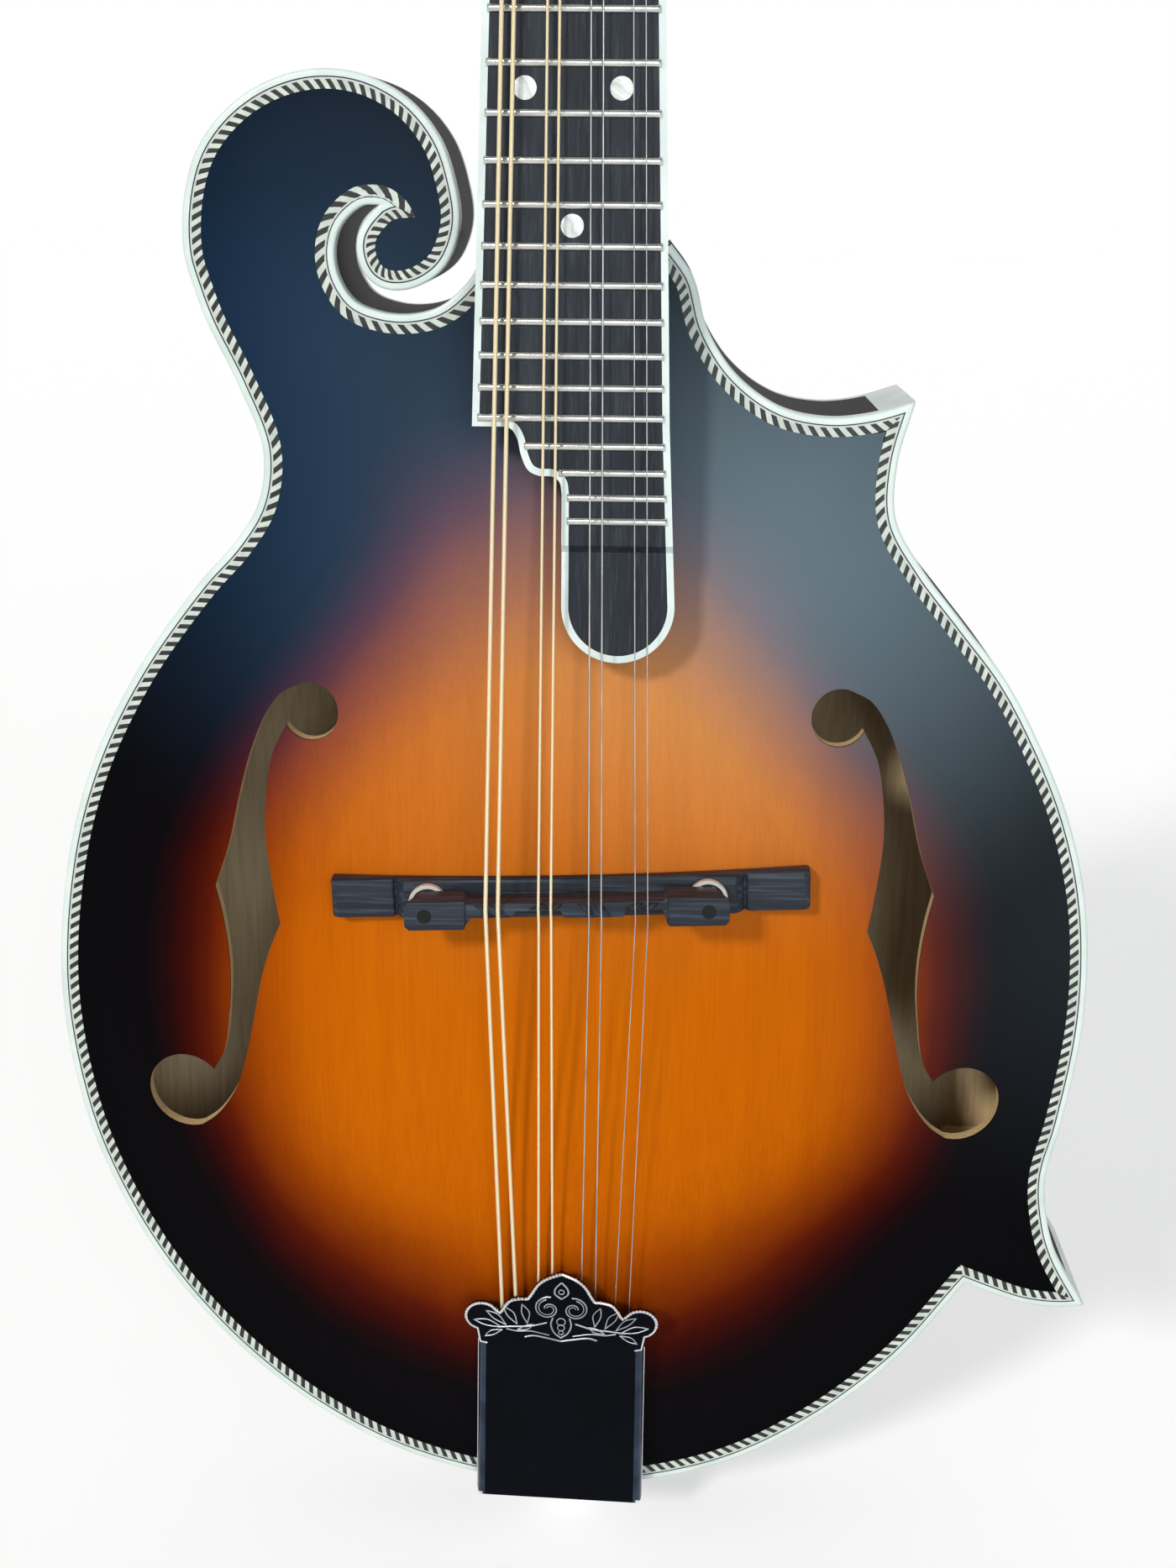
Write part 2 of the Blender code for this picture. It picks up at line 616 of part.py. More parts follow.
def fret_profile(low_end):
    """The board's side profile: fret crowns on top, and the scoop behind the last fret."""
    scoop = -fret_place(FRET_COUNT) - SCOOP_START
    profile = [(0.0, 0.0010)]
    for number in range(1, FRET_COUNT + 1):
        z = -fret_place(number)
        profile += [(0.0, z + FRET_WIDTH / 2), (-FRET_HEIGHT, z + FRET_WIDTH / 5),
                    (-FRET_HEIGHT, z - FRET_WIDTH / 5), (0.0, z - FRET_WIDTH / 2)]
    profile += [(0.0, scoop), (SCOOP_DEPTH, scoop - SCOOP_DEPTH), (SCOOP_DEPTH, low_end)]
    profile += [(BOARD_THICKNESS, low_end), (BOARD_THICKNESS, 0.0010)]
    return profile


def make_board(ebony, ivory):
    """The fretboard with its frets, and the binding round it."""
    edge = board_edge()
    core = offset(edge, BOARD_BINDING + GAP, closed=False)
    low_end = min(z for _, z in edge) - 0.0100
    board = side_prism("fretboard", fret_profile(low_end), NUT_WIDTH, ebony, BOARD_FRAME)
    plan = prism("fretboard_plan", core, -0.0100, 0.0100, frame=BOARD_FRAME)
    combine(board, plan, "INTERSECT")
    binding = prism("fretboard_binding", strip(edge, BOARD_BINDING), 0.0, BOARD_THICKNESS, ivory, BOARD_FRAME)
    scoop_z = -fret_place(FRET_COUNT) - SCOOP_START - SCOOP_DEPTH
    scoop = block("scoop_cutter", (-NUT_WIDTH, -0.0100, low_end), (NUT_WIDTH, SCOOP_DEPTH, scoop_z),
                  frame=BOARD_FRAME)
    combine(binding, scoop, "DIFFERENCE")


def neck_section(z, half_width, front, back, fullness, flat=None):
    """One section of the neck: flat under the board, rounded behind, cut off at the y of flat."""
    points = []
    for i in range(11):
        angle = math.pi * i / 10
        across = math.cos(angle)
        x = -half_width * math.copysign(abs(across) ** (2 / fullness), across)
        y = front + (back - front) * math.sin(angle) ** (2 / fullness)
        if flat is not None:
            y = min(y, flat)
        points.append((x, y, z))
    return points


def neck_shaft(maple):
    """The neck from behind the nut to the heel's end face."""
    heel_end = JOINT_Z + GAP
    sections = []
    shaft_end = heel_end + HEEL_LENGTH
    for z in [0.0090] + list(np.linspace(-0.0020, shaft_end, 5)):
        down = max(0.0, -z / math.cos(NECK_PITCH))
        front = board_y(z) + BOARD_THICKNESS + GAP
        grows = down / fret_place(12)
        back = board_y(z) + NECK_DEPTH_NUT + (NECK_DEPTH_12 - NECK_DEPTH_NUT) * grows
        sections.append(neck_section(z, board_half_width(down), front, back, 2.2))
    back_at_heel = sections[-1][5][1]
    for t in (0.3, 0.5, 0.65, 0.78, 0.88, 0.95, 1.0):
        z = shaft_end - HEEL_LENGTH * t
        down = -z / math.cos(NECK_PITCH)
        front = board_y(z) + BOARD_THICKNESS + GAP
        swell = t ** 4
        back = back_at_heel + (BODY_DEPTH + 0.0040 - back_at_heel) * swell
        sections.append(neck_section(z, board_half_width(down), front, back, 2.2 - 0.25 * swell, BODY_DEPTH))
    return loft("neck", sections, maple, smooth=50)


def riser(share_of_arch):
    """The support under the board's extension, just clear of the arched top."""
    low = -fret_place(FRET_COUNT)
    top = JOINT_Z + 0.0030
    widest = board_half_width(fret_place(FULL_FRETS))
    across = np.linspace(-widest, widest, 9)
    profile = [(board_y(top) + BOARD_THICKNESS + GAP, top)]
    for z in np.linspace(top, low, 6):
        crown = FRONT_ARCH * share_of_arch(across, np.full(9, z)).max()
        profile.append((-max(crown, GAP) - RISER_CLEARANCE, z))
    profile.append((board_y(low) + BOARD_THICKNESS + GAP, low))
    solid = side_prism("riser", profile, NUT_WIDTH)
    plan = offset(board_edge(), RISER_INSET, closed=False)
    shape = prism("riser_plan", plan, -0.0200, 0.0300, frame=BOARD_FRAME)
    return combine(solid, shape, "INTERSECT")


def head_outline():
    """The headstock's outline, run anticlockwise from the nut's bass side."""
    treble = list(HEAD_TREBLE_TOP) + spline(HEAD_TREBLE_SIDE, 0.0200)[1:] + spline(HEAD_TREBLE, 0.0070)[1:]
    valley = spline(HEAD_VALLEY, 0.0060)
    scroll = arc(HEAD_SCROLL_CENTRE, HEAD_SCROLL_RADIUS, 190, -50, 0.0060)
    horn = arc(HEAD_HORN_CENTRE, HEAD_HORN_RADIUS, 200, -20, 0.0050)
    bass = spline(HEAD_BASS, 0.0070) + spline(HEAD_BASS_SIDE, 0.0200)[1:]
    bass += spline(HEAD_BASS_TOP, 0.0080)[1:-1]
    around = bass + scroll + valley[1:-1] + horn + treble
    return around[::-1]


def neck_tenon():
    """The tenon that enters the head block."""
    return block("tenon", (-TENON_WIDTH / 2, RIB_FRONT + 0.0010, JOINT_Z - TENON_LENGTH),
                 (TENON_WIDTH / 2, RIB_BACK - 0.0010, JOINT_Z + 0.0020))


def post_places():
    """Side, number and place of every tuning machine post on the headstock."""
    places = []
    for side in (-1, 1):
        for number in range(4):
            places.append((side, number, side * POST_OFFSET, FIRST_POST + POST_SPACING * number))
    return places


def rod_pocket(name):
    """The opening in the headstock's face that gives access to the truss rod nut."""
    reach = ROD_NUT_RADIUS + 0.0008
    return block(name, (-reach, -0.0100, ROD_NUT_TOP - ROD_NUT_LENGTH - 0.0020),
                 (reach, ROD_DEPTH + reach, ROD_NUT_TOP + 0.0030), frame=BOARD_FRAME)


def make_neck(maple, share_of_arch):
    """The neck with its headstock, heel, tenon and riser in one piece of maple."""
    neck = neck_shaft(maple)
    slab = prism("head_slab", head_outline(), VENEER_THICKNESS + GAP, HEAD_BACK, frame=HEAD_FRAME)
    combine(neck, slab, "UNION")
    combine(neck, riser(share_of_arch), "UNION")
    combine(neck, neck_tenon(), "UNION")
    bore = POST_RADIUS + RUNNING
    for side, number, x, z in post_places():
        hole = turned(f"post_hole_{side}_{number}", (x, z), ((-0.0100, bore), (HEAD_BACK + 0.0100, bore)), 12,
                      frame=HEAD_FRAME)
        combine(neck, hole, "DIFFERENCE")
    channel = ROD_RADIUS + GAP
    slot = block("rod_channel", (-channel, 0.0, -ROD_END - 0.0010),
                 (channel, ROD_DEPTH + channel, ROD_NUT_TOP - ROD_NUT_LENGTH), frame=BOARD_FRAME)
    combine(neck, slot, "DIFFERENCE")
    combine(neck, rod_pocket("neck_pocket"), "DIFFERENCE")


def make_head_trim(ebony, bone, cover_finish):
    """The headstock's face veneer, the nut and the truss rod cover."""
    outline = head_outline()
    veneer = prism("headstock_veneer", [(x, max(z, 0.0008)) for x, z in outline], 0.0, VENEER_THICKNESS,
                   ebony, HEAD_FRAME)
    bore = POST_RADIUS + RUNNING
    for side, number, x, z in post_places():
        hole = turned(f"veneer_hole_{side}_{number}", (x, z), ((-0.0050, bore), (0.0080, bore)), 12,
                      frame=HEAD_FRAME)
        combine(veneer, hole, "DIFFERENCE")
    combine(veneer, rod_pocket("veneer_pocket"), "DIFFERENCE")
    half = board_half_width(0) - 0.0002
    nut_top = -STRING_AT_NUT + GAP
    nut_profile = [(nut_top, GAP), (nut_top + 0.0008, NUT_THICKNESS - GAP - 0.0006),
                   (BOARD_THICKNESS, NUT_THICKNESS - GAP - 0.0006), (BOARD_THICKNESS, GAP)]
    side_prism("nut", nut_profile, half, bone, BOARD_FRAME)
    top = 0.0320
    plate = [(-0.0075, 0.0030), (0.0075, 0.0030), (0.0100, 0.0065), (0.0085, 0.0130), (0.0040, 0.0200)]
    plate += arc((0.0, top - 0.0040), 0.0034, 0, 180, 0.0035) + [(-0.0040, 0.0200), (-0.0085, 0.0130),
                                                               (-0.0100, 0.0065)]
    prism("truss_rod_cover", plate, -COVER_PLATE - GAP, -GAP, cover_finish, HEAD_FRAME)


def make_truss_rod(steel, brass):
    """The truss rod in its channel and the nut on its upper end."""
    frame = BOARD_FRAME @ Matrix.Translation((0, ROD_DEPTH, 0)) @ Matrix.Rotation(math.radians(-90), 4, "X")
    shoulder = ROD_NUT_TOP - ROD_NUT_LENGTH
    turned("truss_rod", (0, 0), ((-shoulder + GAP, ROD_RADIUS), (ROD_END, ROD_RADIUS)), 8, steel, frame)
    turned("truss_rod_nut", (0, 0), ((-ROD_NUT_TOP, ROD_NUT_RADIUS), (-shoulder, ROD_NUT_RADIUS)), 6, brass,
           frame)


def make_block(name, low, high, outline, wood, lining_edges):
    """A block that fills the ribs within a box and is notched round the linings."""
    item = prism(name, offset(outline, RIB_THICKNESS + GAP), RIB_FRONT, RIB_BACK, wood)
    combine(item, block(name + "_box", (low[0], 0.0, BRIDGE_Z + low[1]),
                        (high[0], BODY_DEPTH, BRIDGE_Z + high[1])), "INTERSECT")
    seat = strip(lining_edges, LINING_WIDTH + 3 * GAP, RIB_THICKNESS - GAP)
    for place, (front, back) in lining_depths().items():
        notch = prism(f"{name}_notch_{place}", seat, front - 2 * GAP, back + 2 * GAP)
        combine(item, notch, "DIFFERENCE")
    return item


def lining_depths():
    """Where each lining lies between the plates."""
    return {"front": (RIB_FRONT, RIB_FRONT + LINING_DEPTH), "back": (RIB_BACK - LINING_DEPTH, RIB_BACK)}


def lining_edge(stretches):
    """The edge that the linings follow: past the points on straight runs, and short of the scroll."""
    bass, tail, point, waist, shoulder = stretches[2:]
    corner = Vector(point[0]).lerp(Vector(point[1]), LINING_CORNER)
    return bass[2:] + tail[1:] + [tuple(corner)] + waist[2:-2] + shoulder[3:-1]


def make_body(spruce, maple, ivory, inner_wood, share_of_arch):
    """The carved plates, their bindings, the ribs, and the blocks, linings and bars inside."""
    stretches = body_stretches(BOUT_STEP, CURL_STEP)
    outline = joined(stretches)
    plate_outline = offset(outline, BINDING_WIDTH + GAP)
    hole = f_hole()

    def front_face(x, z):
        return -FRONT_ARCH * share_of_arch(x, z)

    def back_face(x, z):
        return BODY_DEPTH + BACK_ARCH * share_of_arch(x, z)

    carved_plate("top_plate", plate_outline, [shifted(hole), shifted(mirrored(hole))], GRID, front_face,
                 lambda x, z: front_face(x, z) + PLATE_EDGE, spruce)
    carved_plate("back_plate", plate_outline, [], GRID, back_face,
                 lambda x, z: back_face(x, z) - PLATE_EDGE, maple)
    band = strip(outline, BINDING_WIDTH, closed=False)
    prism("top_binding", band, 0.0, PLATE_EDGE, ivory)
    prism("back_binding", band, BODY_DEPTH - PLATE_EDGE, BODY_DEPTH, ivory)
    make_ribs(stretches, maple)

    lining = lining_edge(stretches)
    for place, (front, back) in lining_depths().items():
        band = strip(lining, LINING_WIDTH, RIB_THICKNESS + GAP)
        prism(f"{place}_lining", band, front, back, inner_wood)
    make_block("tail_block", (-TAIL_BLOCK_WIDTH / 2, -0.2000), (TAIL_BLOCK_WIDTH / 2, -0.1759 + BLOCK_DEPTH),
               outline, inner_wood, lining)
    head_block = make_block("head_block", (-HEAD_BLOCK_WIDTH / 2, BODY_JOINT - HEAD_BLOCK_LENGTH),
                            (HEAD_BLOCK_WIDTH / 2, BODY_JOINT), outline, inner_wood, lining)
    reach = TENON_WIDTH / 2 + GAP
    mortise = block("mortise", (-reach, RIB_FRONT + 0.0010 - GAP, JOINT_Z - TENON_LENGTH - GAP),
                    (reach, RIB_BACK - 0.0010 + GAP, JOINT_Z + 0.0100))
    combine(head_block, mortise, "DIFFERENCE")
    make_block("scroll_block", (-0.1000, 0.1340), (-0.0290, 0.2000), outline, inner_wood, lining)
    make_block("upper_point_block", (0.0400, 0.0980), (0.0900, 0.1200), outline, inner_wood, lining)
    make_block("lower_point_block", (0.1000, -0.1300), (0.1400, -0.0860), outline, inner_wood, lining)
    make_tone_bars(spruce, share_of_arch)


def make_ribs(stretches, maple):
    """The bent side strips, each between two corners of the outline."""
    runs = {"rib_bass": stretches[0:3], "rib_treble_tail": stretches[3:5], "rib_treble_waist": stretches[5:6],
            "rib_treble_shoulder": stretches[6:7]}
    outline = joined(stretches)
    inset = offset(outline, RIB_THICKNESS)
    for name, run in runs.items():
        edge = joined(run)
        first = min(range(len(outline)), key=lambda i: math.dist(outline[i], edge[0]))
        last = first + len(edge)
        outer = trimmed(outline[first:last])
        inner = trimmed(inset[first:last])
        prism(name, outer + inner[::-1], RIB_FRONT, RIB_BACK, maple)


def trimmed(points):
    """A run of points shortened a little at both ends, so that neighbouring ribs don't touch."""
    start = Vector(points[0]) + (Vector(points[1]) - Vector(points[0])).normalized() * GAP
    end = Vector(points[-1]) + (Vector(points[-2]) - Vector(points[-1])).normalized() * GAP
    return [tuple(start)] + list(points[1:-1]) + [tuple(end)]


def make_tone_bars(spruce, share_of_arch):
    """Two bars glued under the top, fitted to its inner surface."""
    for side, name in ((-1, "tone_bar_bass"), (1, "tone_bar_treble")):
        sections = []
        for t in np.linspace(0.0, 1.0, 7):
            x = side * (TONE_BAR_TOP[0] + (TONE_BAR_FOOT[0] - TONE_BAR_TOP[0]) * t)
            z = BRIDGE_Z + TONE_BAR_TOP[1] + (TONE_BAR_FOOT[1] - TONE_BAR_TOP[1]) * t
            depth = 0.0035 + (TONE_BAR_DEPTH - 0.0035) * math.sin(math.pi * t) ** 0.8
            left = x - TONE_BAR_WIDTH / 2
            right = x + TONE_BAR_WIDTH / 2
            under = PLATE_EDGE + GAP - FRONT_ARCH * share_of_arch((left, right), (z, z))
            sections.append([(left, under[0], z), (right, under[1], z), (right - 0.0012, under[1] + depth, z),
                             (left + 0.0012, under[0] + depth, z)])
        loft(name, sections, spruce)


def base_underside(share_of_arch, x):
    """The y of the bridge base's underside, fitted to the arch."""
    place = BRIDGE_FRAME @ Vector((x, 0.0, 0.0))
    return -FRONT_ARCH * float(share_of_arch(place.x, place.z)[0]) - GAP


def make_bridge(ebony, brass, share_of_arch):
    """The bridge base, its threaded posts and thumbwheels, and the saddle that rides on them."""
    half = BASE_LENGTH / 2
    foot = half - FOOT_LENGTH
    xs = np.linspace(-half, half, 15)
    under = [(x, base_underside(share_of_arch, x + BASE_SHIFT) - BASE_CLEARANCE) for x in xs]
    foot_top = base_underside(share_of_arch, half) - FOOT_HEIGHT
    shoulder = POST_SPREAD + THUMBWHEEL_RADIUS + 0.0010
    top = [(half, foot_top + 0.0020), (half - 0.0030, foot_top + 0.0004), (half - 0.0080, foot_top),
           (foot, foot_top - 0.0002), (foot - 0.0010, -BASE_TOP + 0.0020), (shoulder, -BASE_TOP)]
    top += [(-x, y) for x, y in reversed(top)]
    base = front_prism("bridge_base", [(x + BASE_SHIFT, y) for x, y in under + top], -BASE_WIDTH / 2,
                       BASE_WIDTH / 2, ebony, BRIDGE_FRAME)
    saddle_top = string_height_at_saddle() + GAP
    saddle = make_saddle(ebony, saddle_top)
    saddle_bottom = saddle_top + SADDLE_HEIGHT
    wheel_front = saddle_bottom + GAP
    bore = BRIDGE_POST_RADIUS + RUNNING
    for side, label in ((-1, "bass"), (1, "treble")):
        x = side * POST_SPREAD
        place = BRIDGE_FRAME @ Matrix.Translation((x, 0, 0))
        foot_y = base_underside(share_of_arch, x) - POST_SEAT
        socket = turned(f"post_socket_{label}", (0, 0), ((foot_y + GAP, bore), (-0.0300, bore)), 12,
                        frame=place)
        combine(base, socket, "DIFFERENCE")
        hole = turned(f"saddle_hole_{label}", (0, 0), ((0.0, bore), (-0.0500, bore)), 12, frame=place)
        combine(saddle, hole, "DIFFERENCE")
        post_ends = ((foot_y, BRIDGE_POST_RADIUS), (saddle_top + POST_RECESS, BRIDGE_POST_RADIUS))
        turned(f"bridge_post_{label}", (0, 0), post_ends, 10, brass, place, 40)
        faces = ((wheel_front + THUMBWHEEL_THICKNESS, THUMBWHEEL_RADIUS), (wheel_front, THUMBWHEEL_RADIUS))
        wheel = turned(f"thumbwheel_{label}", (0, 0), faces, THUMBWHEEL_FLATS, brass, place)
        wheel_bore = turned(f"wheel_hole_{label}", (0, 0), ((0.0, bore), (-0.0500, bore)), 12, frame=place)
        combine(wheel, wheel_bore, "DIFFERENCE")


def string_height_at_saddle():
    """The y of the strings where they cross the saddle."""
    return board_y(BRIDGE_Z) - STRING_AT_SADDLE


def make_saddle(ebony, top):
    """The saddle: wide ends for the posts, and a stepped crest that evens out the string lengths."""
    half = SADDLE_LENGTH / 2
    pad = SADDLE_PAD_WIDTH / 2
    edge = [(-half, -pad + 0.0010), (-half + 0.0010, -pad), (-0.0235, -pad), (-0.0222, -pad + 0.0016),
            (-0.0130, -pad + 0.0018), (-0.0120, -pad + 0.0034), (-0.0015, -pad + 0.0034),
            (-0.0005, -pad + 0.0022), (0.0118, -pad + 0.0022), (0.0130, -pad + 0.0038),
            (0.0210, -pad + 0.0038), (0.0225, -pad), (half - 0.0010, -pad), (half, -pad + 0.0010),
            (half, pad - 0.0010), (half - 0.0010, pad), (0.0225, pad), (0.0215, pad + 0.0006),
            (-0.0225, pad + 0.0006), (-0.0235, pad), (-half + 0.0010, pad), (-half, pad - 0.0010)]
    saddle = prism("bridge_saddle", edge, top, top + SADDLE_HEIGHT, ebony, BRIDGE_FRAME)
    foot = half - SADDLE_TAPER
    ends = [(-half - 0.0001, top - 0.0010), (half + 0.0001, top - 0.0010), (half + 0.0001, top + 0.0020),
            (foot, top + SADDLE_HEIGHT + 0.0010), (-foot, top + SADDLE_HEIGHT + 0.0010),
            (-half - 0.0001, top + 0.0020)]
    shape = front_prism("saddle_ends", ends, -SADDLE_PAD_WIDTH, SADDLE_PAD_WIDTH, frame=BRIDGE_FRAME)
    return combine(saddle, shape, "INTERSECT")


def crest_outline():
    """The tailpiece cover's outline in its own plane: two ears and a stepped, pointed crest."""
    half = COVER_WIDTH / 2
    right = [(half - 0.0012, 0.0), (half, 0.0012), (COVER_WIDTH_TOP / 2, COVER_LENGTH)]
    right += arc(EAR_CENTRE, EAR_RADIUS, -40, 135, 0.0032)
    right += spline(CREST_STEP, 0.0030) + spline(CREST_DOME, 0.0030)[1:]
    left = [(-x, z) for x, z in reversed(right[:-1])]
    return right + left


def make_tailpiece(plated):
    """The tailpiece base with its string hooks, and the cover that slides over it."""
    half = COVER_WIDTH_TOP / 2
    cover = prism("tailpiece_cover", crest_outline(), 0.0, COVER_SHEET, plated, TAIL_FRAME)
    flange_top = COVER_LENGTH - 0.0060
    box = block("cover_flanges", (-half, 0.0001, 0.0), (half, COVER_DEPTH, flange_top), frame=TAIL_FRAME)
    pocket = block("cover_pocket", (-half + COVER_SHEET, COVER_SHEET, COVER_SHEET),
                   (half - COVER_SHEET, COVER_DEPTH + 0.0100, flange_top + 0.0100), frame=TAIL_FRAME)
    combine(box, pocket, "DIFFERENCE")
    mouth = block("cover_mouth", (-half + COVER_SHEET, COVER_LIP, -0.0100),
                  (half - COVER_SHEET, COVER_DEPTH + 0.0100, 0.0100), frame=TAIL_FRAME)
    combine(box, mouth, "DIFFERENCE")
    combine(cover, box, "UNION")

    fit = half - COVER_SHEET - GAP
    front = BASE_SETBACK
    top = HOOK_PLACE + 0.0048
    back = front + BASE_SHEET
    base = block("tailpiece_base", (-fit, front, BASE_FOOT), (fit, back, top), plated, TAIL_FRAME)
    for i in range(8):
        x = HOOK_COURSES[i // 2] + HOOK_PAIR * (i % 2 - 0.5)
        hook = [(front + 0.0003, top - 0.0060), (front - HOOK_HEIGHT + 0.0004, top - 0.0072),
                (front - HOOK_HEIGHT, top - 0.0058), (front + 0.0003, top - 0.0040)]
        finger = side_prism(f"hook_{i}", hook, 0.0008, None, TAIL_FRAME @ Matrix.Translation((x, 0, 0)))
        combine(base, finger, "UNION")
    return base


def make_tail_leg(base, plated):
    """The leg of the tailpiece base that lies on the tail of the body, and the strap button through it."""
    tail_z = BRIDGE_Z + BASS_SIDE[-1][1]
    leg_top = COVER_TAIL_Y + BASE_SETBACK
    leg = block("tail_leg", (END_PIN_X - LEG_WIDTH / 2, leg_top, tail_z - GAP - BASE_SHEET),
                (END_PIN_X + LEG_WIDTH / 2, leg_top + LEG_LENGTH, tail_z - GAP))
    combine(base, leg, "UNION")
    axis = (Matrix.Translation((END_PIN_X, END_PIN_Y, tail_z))
            @ Matrix.Rotation(math.radians(-90), 4, "X"))
    bore = END_PIN_SHANK + GAP
    hole = turned("pin_hole", (0, 0), ((-0.0200, bore), (0.0200, bore)), 12, frame=axis)
    combine(base, hole, "DIFFERENCE")
    for name in ("tail_block", "rib_bass", "rib_treble_tail"):
        socket = turned(f"pin_bore_{name}", (0, 0), ((-0.0180, bore), (0.0200, bore)), 12, frame=axis)
        combine(bpy.data.objects[name], socket, "DIFFERENCE")
    seat = GAP + BASE_SHEET + GAP
    end = seat + END_PIN_LENGTH
    stations = ((-BLOCK_DEPTH + 0.0020, END_PIN_SHANK), (seat, END_PIN_SHANK), (seat, END_PIN_RADIUS * 0.92),
                (seat + 0.0020, END_PIN_RADIUS * 0.75), (seat + 0.0060, END_PIN_RADIUS * 0.62),
                (end - 0.0030, END_PIN_RADIUS), (end - 0.0008, END_PIN_RADIUS), (end, END_PIN_RADIUS * 0.85))
    turned("end_pin", (0, 0), stations, 14, plated, axis, 40)


def wheel_outline():
    """A worm wheel's toothed outline."""
    points = []
    for i in range(2 * WHEEL_TEETH):
        radius = WHEEL_RADIUS if i % 2 else WHEEL_RADIUS - WHEEL_TOOTH
        angle = math.pi * i / WHEEL_TEETH
        points.append((radius * math.cos(angle), radius * math.sin(angle)))
    return points


def key_sections(side):
    """Sections along a tuning key, from its post outwards: shaft end, worm, shaft, collar and flat button."""
    edge = max(abs(x) for x, height in HEAD_BASS_SIDE[:3])
    worm = WORM_LENGTH / 2
    button = edge + BUTTON_CLEARANCE - POST_OFFSET
    stations = ((-worm - SHAFT_END, SHAFT_RADIUS, SHAFT_RADIUS), (-worm, SHAFT_RADIUS, SHAFT_RADIUS),
                (-worm, WORM_RADIUS, WORM_RADIUS), (worm, WORM_RADIUS, WORM_RADIUS),
                (worm, SHAFT_RADIUS, SHAFT_RADIUS), (button - 0.0010, SHAFT_RADIUS, SHAFT_RADIUS),
                (button, 0.0022, 0.0022), (button + 0.0010, BUTTON_HALF_DEPTH * 0.7, BUTTON_HALF_WIDTH * 0.6),
                (button + 0.0040, BUTTON_HALF_DEPTH, BUTTON_HALF_WIDTH),
                (button + BUTTON_LENGTH - 0.0030, BUTTON_HALF_DEPTH, BUTTON_HALF_WIDTH * 0.95),
                (button + BUTTON_LENGTH, BUTTON_HALF_DEPTH * 0.4, BUTTON_HALF_WIDTH * 0.55))
    return [ring_x(side * x, 0.0, 0.0, depth, height, 8) for x, depth, height in stations]


def tuner_plate(side, label, plated):
    """The mounting plate of one side's four tuning machines, with cut corners."""
    inner = side * (POST_OFFSET - TUNER_PLATE_WIDTH / 2)
    outer = side * (POST_OFFSET + TUNER_PLATE_WIDTH / 2)
    low = FIRST_POST - TUNER_PLATE_BELOW
    high = FIRST_POST + 3 * POST_SPACING + TUNER_PLATE_ABOVE
    cut = TUNER_PLATE_CORNER
    outline = ((inner, low + cut), (inner + side * cut, low), (outer - side * cut, low),
               (outer, low + cut), (outer, high - cut), (outer - side * cut, high),
               (inner + side * cut, high), (inner, high - cut))
    return prism(f"tuner_plate_{label}", outline, PLATE_FRONT, PLATE_BACK, plated, HEAD_FRAME)


def make_tuners(plated, brass, pearl):
    """The tuning machines: a plate on each side, posts with worm wheels, and worm keys with buttons."""
    plates = {-1: tuner_plate(-1, "bass", plated), 1: tuner_plate(1, "treble", plated)}
    wheel_front = PLATE_BACK + RUNNING
    wheel_back = wheel_front + WHEEL_THICKNESS
    bore = POST_RADIUS + RUNNING
    for side, number, x, z in post_places():
        label = f"{'bass' if side < 0 else 'treble'}_{number + 1}"
        place = HEAD_FRAME @ Matrix.Translation((x, 0, z))
        stations = ((-POST_STANDS, POST_RADIUS * 0.85), (-POST_STANDS + 0.0006, POST_RADIUS),
                    (wheel_back + 0.0006, POST_RADIUS))
        post = turned(f"tuner_post_{label}", (0, 0), stations, 12, brass, place)
        wheel = prism(f"wheel_{label}", wheel_outline(), wheel_front, wheel_back, frame=place)
        combine(post, wheel, "UNION")
        ends = ((PLATE_FRONT - 0.0050, bore), (PLATE_BACK + 0.0050, bore))
        hole = turned(f"plate_hole_{label}", (0, 0), ends, 12, frame=place)
        combine(plates[side], hole, "DIFFERENCE")
        worm_z = -WHEEL_RADIUS - RUNNING - WORM_RADIUS
        axis = place @ Matrix.Translation((0, (wheel_front + wheel_back) / 2, worm_z))
        loft(f"tuner_key_{label}", key_sections(side), pearl, axis, 40)


def make_strings(bronze, steel):
    """Eight strings in four courses, from their posts over the nut and the saddle to their hooks."""
    names = ("g", "d", "a", "e")
    for course, label in enumerate(names):
        radius = STRING_GAUGES[course] / 2
        side = -1 if course < 2 else 1
        first_post = 0 if label in ("g", "e") else 2
        for pair in (-1, 1):
            number = first_post + (0 if pair == side else 1)
            post_x = side * (POST_OFFSET - POST_RADIUS - radius - RUNNING)
            post_z = FIRST_POST + POST_SPACING * number
            nut_x = COURSE_AT_NUT[course] + pair * PAIR_AT_NUT / 2
            saddle_x = COURSE_AT_SADDLE[course] + pair * PAIR_AT_SADDLE / 2
            hook_x = HOOK_COURSES[course] + pair * HOOK_PAIR / 2
            saddle_y = string_height_at_saddle() - radius
            hook_y = BASE_SETBACK - HOOK_HEIGHT / 2 - radius
            points = [HEAD_FRAME @ Vector((post_x, -POST_STANDS * 0.55, post_z)),
                      BOARD_FRAME @ Vector((nut_x, -STRING_AT_NUT - radius, NUT_THICKNESS - 0.0008)),
                      BOARD_FRAME @ Vector((nut_x, -STRING_AT_NUT - radius, 0.0)),
                      BRIDGE_FRAME @ Vector((saddle_x, saddle_y, 0.0016)),
                      BRIDGE_FRAME @ Vector((saddle_x, saddle_y, -0.0016)),
                      TAIL_FRAME @ Vector((hook_x, hook_y, HOOK_PLACE))]
            material = bronze if course < 2 else steel
            string_tube(f"string_{label}_{1 if pair < 0 else 2}", points, radius, material)


